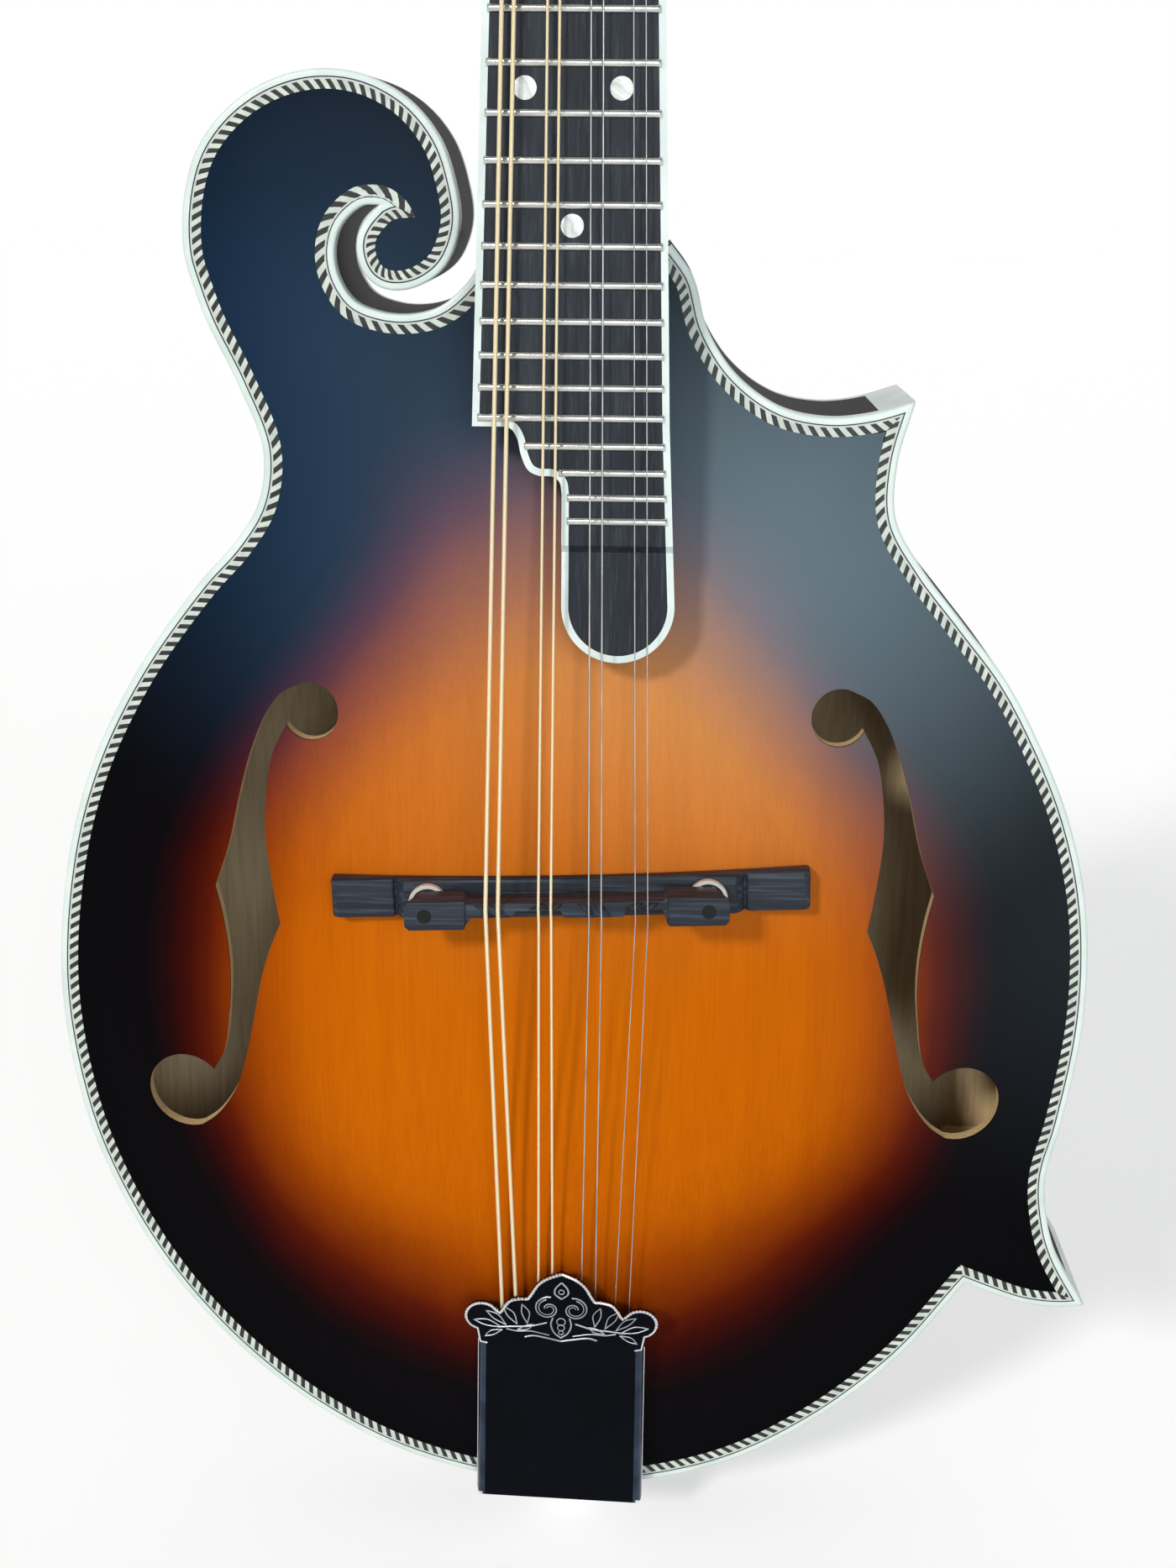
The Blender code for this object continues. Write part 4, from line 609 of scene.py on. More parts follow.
def mixed(tree, share, a, b, mode="MIX"):
    """Two colours mixed by a share."""
    node = tree.nodes.new("ShaderNodeMix")
    node.data_type = "RGBA"
    node.blend_type = mode
    colours = [socket for socket in node.inputs if socket.type == "RGBA"]
    for socket, value in zip([node.inputs[0]] + colours, (share, a, b)):
        if isinstance(value, bpy.types.NodeSocket):
            tree.links.new(value, socket)
        else:
            socket.default_value = value
    return node.outputs[2]


def ramp(tree, value, stops, smooth=True):
    """A colour ramp with (place, colour) stops."""
    node = add_node(tree, "ShaderNodeValToRGB", {"Fac": value})
    node.color_ramp.interpolation = "B_SPLINE" if smooth == "spline" else ("EASE" if smooth else "LINEAR")
    elements = node.color_ramp.elements
    while len(elements) < len(stops):
        elements.new(0.5)
    for element, (place, shade) in zip(elements, stops):
        element.position = place
    for element, (place, shade) in zip(elements, stops):
        element.color = shade
    return node.outputs["Color"]


def remap(tree, value, low, high, new_low=0.0, new_high=1.0):
    """A value's range mapped to another range, and held inside it."""
    node = add_node(tree, "ShaderNodeMapRange", {"Value": value, "From Min": low, "From Max": high,
                                                 "To Min": new_low, "To Max": new_high})
    return node.outputs["Result"]


def group(name, inputs, outputs):
    """An empty node group with named value, vector or colour sockets."""
    tree = bpy.data.node_groups.new(name, "ShaderNodeTree")
    for label, kind, default in inputs:
        socket = tree.interface.new_socket(label, in_out="INPUT", socket_type=kind)
        if default is not None:
            socket.default_value = default
    for label, kind in outputs:
        tree.interface.new_socket(label, in_out="OUTPUT", socket_type=kind)
    return tree, tree.nodes.new("NodeGroupInput"), tree.nodes.new("NodeGroupOutput")


FLOAT = "NodeSocketFloat"
VECTOR = "NodeSocketVector"


def make_grain_group():
    """Wood grain: fine streaks along the fibres, and slower mottling."""
    tree, given, result = group("wood_grain", (("Vector", VECTOR, None), ("Across", FLOAT, 900.0),
                                               ("Along", FLOAT, 0.03)), (("Streaks", FLOAT),
                                                            ("Mottle", FLOAT)))
    parts = add_node(tree, "ShaderNodeSeparateXYZ", {0: given.outputs["Vector"]})
    along = calc(tree, "MULTIPLY", parts.outputs["Z"], given.outputs["Along"])
    line = add_node(tree, "ShaderNodeCombineXYZ",
                    {"X": parts.outputs["X"], "Y": parts.outputs["Y"], "Z": along})
    fine = add_node(tree, "ShaderNodeTexNoise", {"Vector": line.outputs[0], "Scale": given.outputs["Across"],
                                                 "Detail": 3.0, "Roughness": 0.6})
    slow = calc(tree, "MULTIPLY", given.outputs["Across"], 0.12)
    broad = add_node(tree, "ShaderNodeTexNoise", {"Vector": line.outputs[0], "Scale": slow, "Detail": 2.0})
    tree.links.new(remap(tree, fine.outputs["Fac"], 0.3, 0.7), result.inputs["Streaks"])
    tree.links.new(remap(tree, broad.outputs["Fac"], 0.3, 0.7), result.inputs["Mottle"])
    return tree


def make_handling_group():
    """Handling: soft smudges and faint hairline scratches."""
    tree, given, result = group("handling", (("Vector", VECTOR, None), ("Size", FLOAT, 60.0)),
                                (("Smudge", FLOAT), ("Hairlines", FLOAT)))
    smudge = add_node(tree, "ShaderNodeTexNoise", {"Vector": given.outputs["Vector"],
                                                   "Scale": given.outputs["Size"], "Detail": 4.0})
    stretch = add_node(tree, "ShaderNodeMapping", {"Vector": given.outputs["Vector"],
                                                   "Rotation": (0.3, 0.5, 0.8), "Scale": (1.0, 0.04, 1.0)})
    fine = calc(tree, "MULTIPLY", given.outputs["Size"], 40.0)
    hair = add_node(tree, "ShaderNodeTexNoise", {"Vector": stretch.outputs[0], "Scale": fine, "Detail": 1.0})
    tree.links.new(remap(tree, smudge.outputs["Fac"], 0.3, 0.7), result.inputs["Smudge"])
    tree.links.new(remap(tree, hair.outputs["Fac"], 0.62, 0.75), result.inputs["Hairlines"])
    return tree


GRAIN = make_grain_group()
HANDLING = make_handling_group()


def start_material(name, roughness, metallic=0.0, coat=0.0, coat_roughness=0.1, specular=0.5):
    """A material with its tree, its shader and the object coordinates."""
    material = bpy.data.materials.new(name)
    material.use_nodes = True
    tree = material.node_tree
    shader = tree.nodes["Principled BSDF"]
    shader.inputs["Roughness"].default_value = roughness
    shader.inputs["Metallic"].default_value = metallic
    shader.inputs["Coat Weight"].default_value = coat
    shader.inputs["Coat Roughness"].default_value = coat_roughness
    shader.inputs["Specular IOR Level"].default_value = specular
    place = tree.nodes.new("ShaderNodeTexCoord").outputs["Object"]
    return material, tree, shader, place


def use_group(tree, shared, **inputs):
    """A shared group placed in a material with its own values."""
    node = tree.nodes.new("ShaderNodeGroup")
    node.node_tree = shared
    for key, value in inputs.items():
        if isinstance(value, bpy.types.NodeSocket):
            tree.links.new(value, node.inputs[key])
        else:
            node.inputs[key].default_value = value
    return node.outputs


def add_bump(tree, shader, height, strength, distance=0.0002):
    """Bump on a shader from a height."""
    bump = add_node(tree, "ShaderNodeBump", {"Height": height, "Strength": strength, "Distance": distance})
    tree.links.new(bump.outputs["Normal"], shader.inputs["Normal"])


def add_handling(tree, shader, place, roughness, spread, size=60.0):
    """Roughness that smudges and hairlines vary."""
    worn = use_group(tree, HANDLING, Vector=place, Size=size)
    smudged = remap(tree, worn["Smudge"], 0.0, 1.0, roughness - spread, roughness + spread)
    lined = calc(tree, "ADD", smudged, calc(tree, "MULTIPLY", worn["Hairlines"], spread))
    tree.links.new(lined, shader.inputs["Roughness"])
    return worn


def paint(tree, shader, tone):
    """The tone as a shader's own colour."""
    tree.links.new(tone, shader.inputs["Base Color"])


def clouding(tree, place, scale, detail):
    """Soft uneven clouds, from 0 to 1."""
    return add_node(tree, "ShaderNodeTexNoise",
                    {"Vector": place, "Scale": scale, "Detail": detail}).outputs["Fac"]


def bands(tree, place, scale, distortion=0.0, fineness=1.0, direction="Z"):
    """Wavy bands across a direction, as in flamed wood, wound wire or shell."""
    values = {"Vector": place, "Scale": scale, "Distortion": distortion, "Detail": 3.0,
              "Detail Scale": fineness}
    return add_node(tree, "ShaderNodeTexWave", values, wave_type="BANDS",
                    bands_direction=direction).outputs["Fac"]


def stored(tree, name):
    """A value that the mesh carries at its points."""
    return add_node(tree, "ShaderNodeAttribute", attribute_name=name).outputs["Fac"]


# Painted reflection: soft patches of cool sheen painted into the top's colour in place of reflected light:
# place, reach and strength
PAINTED_SHEEN_PATCHES = (((0.055, 0.078), 0.105, 0.178), ((-0.045, 0.092), 0.100, 0.045),
              ((-0.055, 0.150), 0.080, 0.028),
              ((0.125, -0.010), 0.090, 0.018), ((-0.005, 0.045), 0.090, 0.040))


def painted_sheen_patch(tree, place, centre, reach, strength):
    """A soft round patch of painted reflection, a cool sheen, over the dark finish."""
    apart = add_node(tree, "ShaderNodeVectorMath", {0: place, 1: centre},
                     operation="DISTANCE").outputs["Value"]
    node = add_node(tree, "ShaderNodeMapRange",
                    {"Value": apart, "From Min": reach, "From Max": 0.0, "To Min": 0.0,
                                                 "To Max": strength}, interpolation_type="SMOOTHSTEP")
    return node.outputs["Result"]


def burst_material():
    """Satin sunburst over spruce: amber in the middle, red-brown, then near black at the edges."""
    material, tree, shader, place = start_material("sunburst_spruce", 0.4, specular=0.03)
    grain = use_group(tree, GRAIN, Vector=place, Across=1700.0, Along=0.02)
    cloud = clouding(tree, place, 22.0, 3.0)
    burst = stored(tree, "burst")
    sprayed = calc(tree, "ADD", burst, calc(tree, "MULTIPLY", calc(tree, "SUBTRACT", cloud, 0.5), 0.006))
    share = calc(tree, "DIVIDE", sprayed, 0.080)
    shades = ((0.0, colour(4, 5, 8)), (0.27, colour(7, 4, 7)), (0.33, colour(30, 4, 5)),
              (0.388, colour(58, 9, 4)), (0.445, colour(86, 22, 3)), (0.50, colour(120, 44, 2)),
              (0.565, colour(146, 62, 1)), (0.63, colour(172, 80, 1)), (0.70, colour(189, 93, 1)),
              (0.80, colour(196, 98, 1)), (1.0, colour(199, 102, 2)))
    base = ramp(tree, share, shades, smooth=False)
    lines = mixed(tree, remap(tree, grain["Streaks"], 0.0, 1.0, 0.0, 0.16), base, colour(150, 60, 0),
                  "MULTIPLY")
    mottled = mixed(tree, remap(tree, grain["Mottle"], 0.0, 1.0, 0.0, 0.10), lines, colour(170, 90, 20),
                    "MULTIPLY")
    depth = stored(tree, "depth")
    # Painted reflection: the sheen patches below add reflected light to the sunburst's colour
    painted_sheen = 0.0
    for (x, height), reach, strength in PAINTED_SHEEN_PATCHES:
        painted_sheen = calc(tree, "ADD", painted_sheen_patch(tree, place, (x, 0.0, BRIDGE_Z + height), reach, strength), painted_sheen)
    parts = add_node(tree, "ShaderNodeSeparateXYZ", {0: place})
    # Tint of the painted reflection: bluer towards the bass side, yellower over the amber middle
    cool = mixed(tree, remap(tree, parts.outputs["X"], -0.085, 0.03), (0.16, 0.56, 1.25, 1.0),
                 (0.60, 0.84, 1.0, 1.0))
    cast = mixed(tree, remap(tree, share, 0.42, 0.70), cool, (0.80, 0.98, 0.46, 1.0))
    with_painted_sheen = mixed(tree, painted_sheen, mottled, cast, "ADD")
    rim = mixed(tree, remap(tree, depth, 0.01, 0.03), with_painted_sheen, colour(12, 8, 7))
    bare = mixed(tree, grain["Streaks"], colour(226, 196, 150), colour(200, 166, 118))
    whole = mixed(tree, remap(tree, depth, 0.14, 0.20), rim, bare)
    paint(tree, shader, whole)
    smudge = use_group(tree, HANDLING, Vector=place, Size=25.0)
    satin = remap(tree, smudge["Smudge"], 0.0, 1.0, 0.36, 0.46)
    tree.links.new(calc(tree, "ADD", satin, remap(tree, depth, 0.10, 0.14, 0.0, 0.3)),
                   shader.inputs["Roughness"])
    add_bump(tree, shader, grain["Streaks"], 0.06, 0.00015)
    return material


def flamed_material(name, light, dark, strength=0.5, roughness=0.35):
    """Satin maple with cross flame and fine grain."""
    material, tree, shader, place = start_material(name, roughness, coat=0.15, coat_roughness=0.22,
                                                   specular=0.0)
    wave = bands(tree, place, 42.0, 5.0, 2.0)
    grain = use_group(tree, GRAIN, Vector=place, Across=700.0, Along=0.05)
    flame = mixed(tree, remap(tree, wave, 0.0, 1.0, 0.0, strength), light, dark)
    base = mixed(tree, remap(tree, grain["Streaks"], 0.0, 1.0, 0.0, 0.35), flame, dark)
    paint(tree, shader, base)
    add_handling(tree, shader, place, roughness, 0.06, 40.0)
    return material


def back_material():
    """Sunburst over flamed maple, for the back plate."""
    material, tree, shader, place = start_material("sunburst_maple", 0.3, specular=0.2)
    wave = bands(tree, place, 45.0, 6.0, 2.0)
    grain = use_group(tree, GRAIN, Vector=place, Across=700.0, Along=0.05)
    burst = stored(tree, "burst")
    shades = ((0.0, colour(9, 6, 7)), (0.22, colour(16, 6, 5)), (0.36, colour(52, 15, 7)),
              (0.52, colour(104, 40, 10)), (0.72, colour(150, 70, 20)), (1.0, colour(170, 86, 28)))
    base = ramp(tree, calc(tree, "DIVIDE", burst, 0.080), shades, smooth=False)
    flame = mixed(tree, remap(tree, wave, 0.0, 1.0, 0.0, 0.45), base, colour(96, 40, 12), "MULTIPLY")
    lines = mixed(tree, remap(tree, grain["Streaks"], 0.0, 1.0, 0.0, 0.25), flame, colour(90, 45, 20),
                  "MULTIPLY")
    depth = stored(tree, "depth")
    bare = mixed(tree, grain["Streaks"], colour(208, 186, 148), colour(184, 160, 122))
    paint(tree, shader, mixed(tree, remap(tree, depth, 0.5, 0.6), lines, bare))
    add_handling(tree, shader, place, 0.32, 0.06, 40.0)
    return material


def bare_wood_material():
    """Unfinished inside wood."""
    material, tree, shader, place = start_material("inner_wood", 0.75)
    grain = use_group(tree, GRAIN, Vector=place, Across=600.0, Along=0.04)
    base = mixed(tree, grain["Streaks"], colour(230, 204, 162), colour(204, 174, 130))
    paint(tree, shader, base)
    add_bump(tree, shader, grain["Streaks"], 0.2)
    return material


def ivory_material():
    """Cream binding, a little uneven, with faint scraping marks."""
    material, tree, shader, place = start_material("ivory_binding", 0.38)
    cloud = clouding(tree, place, 90.0, 4.0)
    base = mixed(tree, remap(tree, cloud, 0.35, 0.65), colour(220, 231, 226), colour(204, 217, 212))
    paint(tree, shader, base)
    worn = add_handling(tree, shader, place, 0.36, 0.08, 80.0)
    add_bump(tree, shader, worn["Hairlines"], 0.1)
    return material


def rope_material():
    """Rope purfling between the lines beside the binding, drawn along the strip's own coordinates."""
    material, tree, shader, place = start_material("rope_purfling", 0.4)
    uv = add_node(tree, "ShaderNodeUVMap", uv_map="strip").outputs["UV"]
    parts = add_node(tree, "ShaderNodeSeparateXYZ", {0: uv})
    along, across = parts.outputs["X"], parts.outputs["Y"]
    slant = calc(tree, "ADD", along, calc(tree, "MULTIPLY", across, 0.75))
    turn = calc(tree, "FRACT", calc(tree, "DIVIDE", slant, 0.00275))
    dash = remap(tree, calc(tree, "ABSOLUTE", calc(tree, "SUBTRACT", turn, 0.5)), 0.23, 0.27)
    cloud = clouding(tree, place, 260.0, 3.0)
    cream = mixed(tree, remap(tree, cloud, 0.3, 0.7), colour(210, 218, 206), colour(180, 190, 178))
    black = mixed(tree, remap(tree, cloud, 0.3, 0.7), colour(12, 12, 16), colour(30, 30, 34))
    rope = mixed(tree, dash, black, cream)
    ink = colour(10, 10, 14)
    first = remap(tree, across, 0.00185, 0.00195)
    second = remap(tree, across, 0.00225, 0.00235)
    white_line = mixed(tree, first, ink, colour(196, 202, 196))
    lines = mixed(tree, second, white_line, rope)
    inner = remap(tree, across, 0.0044, 0.00445)
    paint(tree, shader, mixed(tree, inner, lines, ink))
    return material


def ebony_material():
    """Oiled ebony: blue-grey black with fine pale streaks."""
    material, tree, shader, place = start_material("ebony", 0.45, specular=0.2)
    grain = use_group(tree, GRAIN, Vector=place, Across=1400.0, Along=0.02)
    base = mixed(tree, grain["Mottle"], colour(20, 24, 31), colour(38, 44, 52))
    lines = mixed(tree, remap(tree, grain["Streaks"], 0.5, 1.0, 0.0, 0.5), base, colour(60, 67, 75))
    paint(tree, shader, lines)
    add_handling(tree, shader, place, 0.46, 0.08, 70.0)
    add_bump(tree, shader, grain["Streaks"], 0.12)
    return material


def side_ebony_material():
    """Ebony whose grain runs across the instrument, for the bridge."""
    material, tree, shader, place = start_material("bridge_ebony", 0.45, specular=0.25)
    turned_place = add_node(tree, "ShaderNodeMapping",
                            {"Vector": place, "Rotation": (0, math.pi / 2, 0)}).outputs[0]
    grain = use_group(tree, GRAIN, Vector=turned_place, Across=1100.0, Along=0.03)
    base = mixed(tree, grain["Mottle"], colour(22, 27, 35), colour(40, 47, 58))
    lines = mixed(tree, remap(tree, grain["Streaks"], 0.45, 1.0, 0.0, 0.6), base, colour(76, 84, 94))
    paint(tree, shader, lines)
    add_handling(tree, shader, place, 0.5, 0.08, 70.0)
    add_bump(tree, shader, grain["Streaks"], 0.2)
    return material


def metal_material(name, light, dark, roughness, spread=0.06, size=120.0):
    """Metal with a slightly uneven tone and hairlines."""
    material, tree, shader, place = start_material(name, roughness, metallic=1.0)
    cloud = add_node(tree, "ShaderNodeTexNoise",
                     {"Vector": place, "Scale": size, "Detail": 4.0}).outputs["Fac"]
    paint(tree, shader, mixed(tree, remap(tree, cloud, 0.35, 0.65), light, dark))
    worn = add_handling(tree, shader, place, roughness, spread, size)
    add_bump(tree, shader, worn["Hairlines"], 0.08)
    return material


def winding_material():
    """Bronze wire wound closely round a core."""
    material, tree, shader, place = start_material("wound_string", 0.4, metallic=0.3)
    wave = bands(tree, place, 1600.0)
    paint(tree, shader, mixed(tree, wave, colour(254, 242, 206), colour(226, 202, 154)))
    add_bump(tree, shader, wave, 0.5, 0.0001)
    return material


def plastic_material(name, light, dark, roughness, coat=0.0):
    """Moulded or polished plastic or bone with faint clouding."""
    material, tree, shader, place = start_material(name, roughness, coat=coat)
    cloud = clouding(tree, place, 140.0, 4.0)
    paint(tree, shader, mixed(tree, remap(tree, cloud, 0.3, 0.7), light, dark))
    add_handling(tree, shader, place, roughness, 0.05, 90.0)
    return material


def pearl_material():
    """Shell with broad shimmering bands."""
    material, tree, shader, place = start_material("pearl", 0.25, coat=0.5)
    wave = bands(tree, place, 120.0, 9.0, direction="DIAGONAL")
    shades = ((0.0, colour(232, 234, 228)), (0.4, colour(206, 216, 214)), (0.7, colour(226, 222, 206)),
              (1.0, colour(190, 198, 204)))
    paint(tree, shader, ramp(tree, wave, shades))
    return material


def cover_material():
    """The tailpiece cover's gloss: near black with a deep blue cast."""
    material, tree, shader, place = start_material("dark_plate", 0.12, specular=0.04)
    cloud = clouding(tree, place, 70.0, 4.0)
    paint(tree, shader, mixed(tree, remap(tree, cloud, 0.35, 0.65), colour(3, 5, 11), colour(6, 8, 15)))
    add_handling(tree, shader, place, 0.16, 0.05, 120.0)
    return material


SPRUCE = burst_material()
BACK_MAPLE = back_material()
SIDE_MAPLE = flamed_material("dark_maple", colour(22, 13, 10), colour(9, 6, 6))
NECK_MAPLE = flamed_material("neck_maple", colour(64, 32, 16), colour(24, 12, 8), 0.4)
INNER_WOOD = bare_wood_material()
IVORY = ivory_material()
ROPE = rope_material()
EBONY = ebony_material()
BRIDGE_EBONY = side_ebony_material()
FRET_METAL = metal_material("fret_wire", colour(214, 214, 210), colour(190, 190, 186), 0.28)
STEEL = metal_material("steel", colour(196, 192, 188), colour(166, 162, 160), 0.35)
WINDING = winding_material()
BRASS = metal_material("brass", colour(206, 178, 120), colour(170, 138, 84), 0.32)
CHROME = metal_material("chrome", colour(222, 224, 228), colour(196, 198, 204), 0.12, 0.04)
NICKEL = metal_material("satin_nickel", colour(240, 238, 234), colour(220, 218, 214), 0.35)
NICKEL.node_tree.nodes["Principled BSDF"].inputs["Metallic"].default_value = 0.5
# Painted shade: a dark copy of the nickel for the thumbwheels' faces, which lie in the saddle's shadow
NICKEL_PAINTED_SHADE = metal_material("nickel_painted_shade", colour(74, 66, 60), colour(52, 46, 42), 0.5)
COVER = cover_material()
FOLD = metal_material("folded_edge", colour(62, 74, 92), colour(44, 52, 68), 0.2)
ENGRAVED = metal_material("engraved_line", colour(196, 198, 206), colour(150, 152, 162), 0.5)
PLATE_METAL = metal_material("tuner_plate", colour(190, 190, 194), colour(160, 160, 166), 0.25)
BONE = plastic_material("bone", colour(226, 218, 196), colour(206, 196, 170), 0.35)
# Painted shade: a flat near-black for the saddle's post holes, which are thin discs rather than recesses
HOLE_PAINTED_SHADE = plastic_material("hole_painted_shade", colour(3, 3, 4), colour(6, 6, 7), 0.9)
BLACK_PLASTIC = plastic_material("black_plastic", colour(14, 14, 16), colour(24, 24, 26), 0.2, 0.5)
PEARL = pearl_material()


# Body

def f_hole():
    """The treble f-hole's outline before its shift."""
    upper = arc(F_UPPER_EYE, F_UPPER_RADIUS, -31, -300, 0.0006)
    lower = arc(F_LOWER_EYE, F_LOWER_RADIUS, 138, -110, 0.0006)
    runs = [upper, spline(F_OUTER_TOP, 0.0008), spline(F_OUTER_FOOT, 0.0008), lower,
            spline(F_INNER_FOOT, 0.0008), spline(F_INNER_TOP, 0.0008)]
    return [(x, BRIDGE_Z + h) for x, h in joined(runs)]


def carved_plate(outline, holes, spacing, outer, inner):
    """A carved plate between two faces, each a function of body points that gives y."""
    low = np.min(outline, axis=0)
    high = np.max(outline, axis=0)
    rows = np.array([(x + (spacing / 2 if row % 2 else 0.0), z)
                     for row, z in enumerate(np.arange(low[1], high[1], spacing * 0.866))
                     for x in np.arange(low[0], high[0], spacing)])
    keep = inside(rows, outline) & (nearest(rows[:, 0], rows[:, 1], outline) > spacing * 0.5)
    for hole in holes:
        keep &= ~inside(rows, hole) & (nearest(rows[:, 0], rows[:, 1], hole) > spacing * 0.35)
    points = [Vector(p) for p in outline]
    edges = [(i, (i + 1) % len(outline)) for i in range(len(outline))]
    for hole in holes:
        first = len(points)
        points += [Vector(p) for p in hole]
        edges += [(first + i, first + (i + 1) % len(hole)) for i in range(len(hole))]
    points += [Vector(p) for p in rows[keep]]
    corners, _, faces, _, _, _ = delaunay_2d_cdt(points, edges, [], 0, 1e-7)
    flat = np.array([tuple(c) for c in corners])
    middles = np.array([flat[list(face)].mean(axis=0) for face in faces])
    solid = inside(middles, outline)
    for hole in holes:
        solid &= ~inside(middles, hole)
    bm = bmesh.new()
    burst = bm.verts.layers.float.new("burst")
    depth = bm.verts.layers.float.new("depth")
    distances = depth_inside(flat[:, 0], flat[:, 1])
    heights = arch_rise(distances) / ARCH_CROWN
    verts = [bm.verts.new((x, outer(rise), z)) for (x, z), rise in zip(flat, heights)]
    sprayed = distances * (1 - burst_ends(flat[:, 0], flat[:, 1]))
    for vert, distance in zip(verts, sprayed):
        vert[burst] = distance
    for face, kept in zip(faces, solid):
        if kept:
            bm.faces.new([verts[i] for i in face])
    bmesh.ops.delete(bm, geom=[v for v in bm.verts if not v.link_faces], context="VERTS")
    extruded = bmesh.ops.extrude_face_region(bm, geom=bm.faces[:])
    under = [v for v in extruded["geom"] if isinstance(v, bmesh.types.BMVert)]
    for vert in under:
        vert.co.y = inner(vert.co.y)
        vert[depth] = 1.0
    bmesh.ops.recalc_face_normals(bm, faces=bm.faces)
    return bm


def edge_band(profile, ranges=None):
    """A band with a (distance inwards, y) profile along the outline, or along (stretch, from, to) ranges."""
    columns = [trimmed_runs(distance) for distance, _ in profile]
    whole = bmesh.new()
    for number, low, high in ranges or [(number, None, None) for number in range(len(BASE_RUNS))]:
        length = columns[0][number][1][-1]
        rows = max(2, round(length / 0.0012))
        lines = []
        for column in columns:
            points, travel = column[number]
            first = travel[0] if low is None else low
            last = travel[-1] if high is None else high
            stops = np.linspace(first, last, rows + 1)
            points = np.array(points)
            lines.append((np.interp(stops, travel, points[:, 0]), np.interp(stops, travel, points[:, 1]),
                          stops))
        bm = skin([[(xs[i], y, zs[i]) for (xs, zs, _),
                    (_, y) in zip(lines, profile)] for i in range(rows + 1)])
        uv = bm.loops.layers.uv.new("strip")
        bm.verts.ensure_lookup_table()
        for face in bm.faces:
            for loop in face.loops:
                row, column = divmod(loop.vert.index, len(profile))
                loop[uv].uv = (lines[column][2][row], profile[column][0])
        part = bpy.data.meshes.new("band_part")
        bm.to_mesh(part)
        bm.free()
        whole.from_mesh(part)
        bpy.data.meshes.remove(part)
    return whole


def side_ranges():
    """The (stretch, from, to) ranges of the wooden sides, and of the cream guards at the two points."""
    lengths = [travel[-1] for _, travel in trimmed_runs(0.0)]
    wood = [(0, None, None), (1, None, None), (2, None, lengths[2] - POINT_GUARD),
            (3, POINT_GUARD, lengths[3] - POINT_GUARD), (4, POINT_GUARD, None)]
    cream = [(2, lengths[2] - POINT_GUARD, None), (3, None, POINT_GUARD),
             (3, lengths[3] - POINT_GUARD, None),
             (4, None, POINT_GUARD)]
    return wood, cream


def make_body():
    """The carved plates, their bindings and purfling, and the sides."""
    inner_line = joined([run for run, _ in trimmed_runs(PURFLING_WIDTH - 0.0002)])
    hole = f_hole()
    treble = [(x + F_SHIFT, z) for x, z in hole]
    bass = [(x + F_SHIFT, z) for x, z in mirrored(hole)]
    front = carved_plate(inner_line, [treble, bass], 0.0026, lambda rise: -FRONT_ARCH * rise,
                         lambda y: y + PLATE_EDGE)
    purfling = edge_band(((BINDING_WIDTH, 0.0), (0.0030, 0.0), (PURFLING_WIDTH, 0.0),
                          (PURFLING_WIDTH, PLATE_EDGE), (BINDING_WIDTH, PLATE_EDGE)))
    piece("carved_top", [(front, SPRUCE), (purfling, ROPE)], replaced=["top_plate"])
    back_line = joined([run for run, _ in trimmed_runs(BINDING_WIDTH)])
    back = carved_plate(back_line, [], 0.0040, lambda rise: BODY_DEPTH + BACK_ARCH * rise,
                        lambda y: y - PLATE_EDGE)
    piece("carved_back", [(back, BACK_MAPLE)], replaced=["back_plate"])
    r = BAND_ROUND
    front_profile = ((BINDING_WIDTH, 0.0), (r, 0.0), (r * 0.5, r * 0.13), (r * 0.13, r * 0.5), (0.0, r),
                     (0.0, PLATE_EDGE), (BINDING_WIDTH, PLATE_EDGE))
    piece("front_binding", [(edge_band(front_profile), IVORY)], replaced=["top_binding"])
    back_profile = tuple((d, BODY_DEPTH - y) for d, y in reversed(front_profile))
    piece("rear_binding", [(edge_band(back_profile), IVORY)], replaced=["back_binding"])
    side_profile = ((0.0020, PLATE_EDGE), (0.0, PLATE_EDGE), (0.0, BODY_DEPTH - PLATE_EDGE),
                    (0.0020, BODY_DEPTH - PLATE_EDGE))
    wood, cream = side_ranges()
    piece("bent_sides", [(edge_band(side_profile, wood), SIDE_MAPLE),
                         (edge_band(side_profile, cream), IVORY)],
          replaced=["rib_bass", "rib_treble_tail", "rib_treble_waist", "rib_treble_shoulder"])


# Fretboard

def board_edge(step):
    """The board's outer edge in its own plane, from the nut's bass side round to its treble side."""
    shoulder = fret_place(FULL_FRETS) + EXTENSION_MARGIN
    tip = fret_place(FRET_COUNT) + TONGUE_LENGTH
    right = board_half_width(tip) + TONGUE_FLARE
    radius = (right - TONGUE_EDGE[-1][0]) / 2
    edge = [(-board_half_width(0), 0.0), (-board_half_width(shoulder), -shoulder)]
    edge += [(x, -shoulder - down) for x, down in spline(TONGUE_EDGE, step)]
    edge += arc((right - radius, -tip), radius, 180, 360, step)
    edge += [(board_half_width(shoulder), -shoulder), (board_half_width(0), 0.0)]
    return edge


def scooped(bm):
    """Lower the playing face behind the last fret by a short ramp."""
    start = -fret_place(FRET_COUNT) - SCOOP_START
    for z in (start, start - SCOOP_DEPTH):
        bmesh.ops.bisect_plane(bm, geom=bm.faces[:] + bm.edges[:] + bm.verts[:], plane_co=(0, 0, z),
                               plane_no=(0, 0, 1), dist=1e-7)
    for vert in bm.verts:
        if vert.co.y < 0.0002 and vert.co.z < start - SCOOP_DEPTH + 1e-5:
            vert.co.y += SCOOP_DEPTH
    return bm


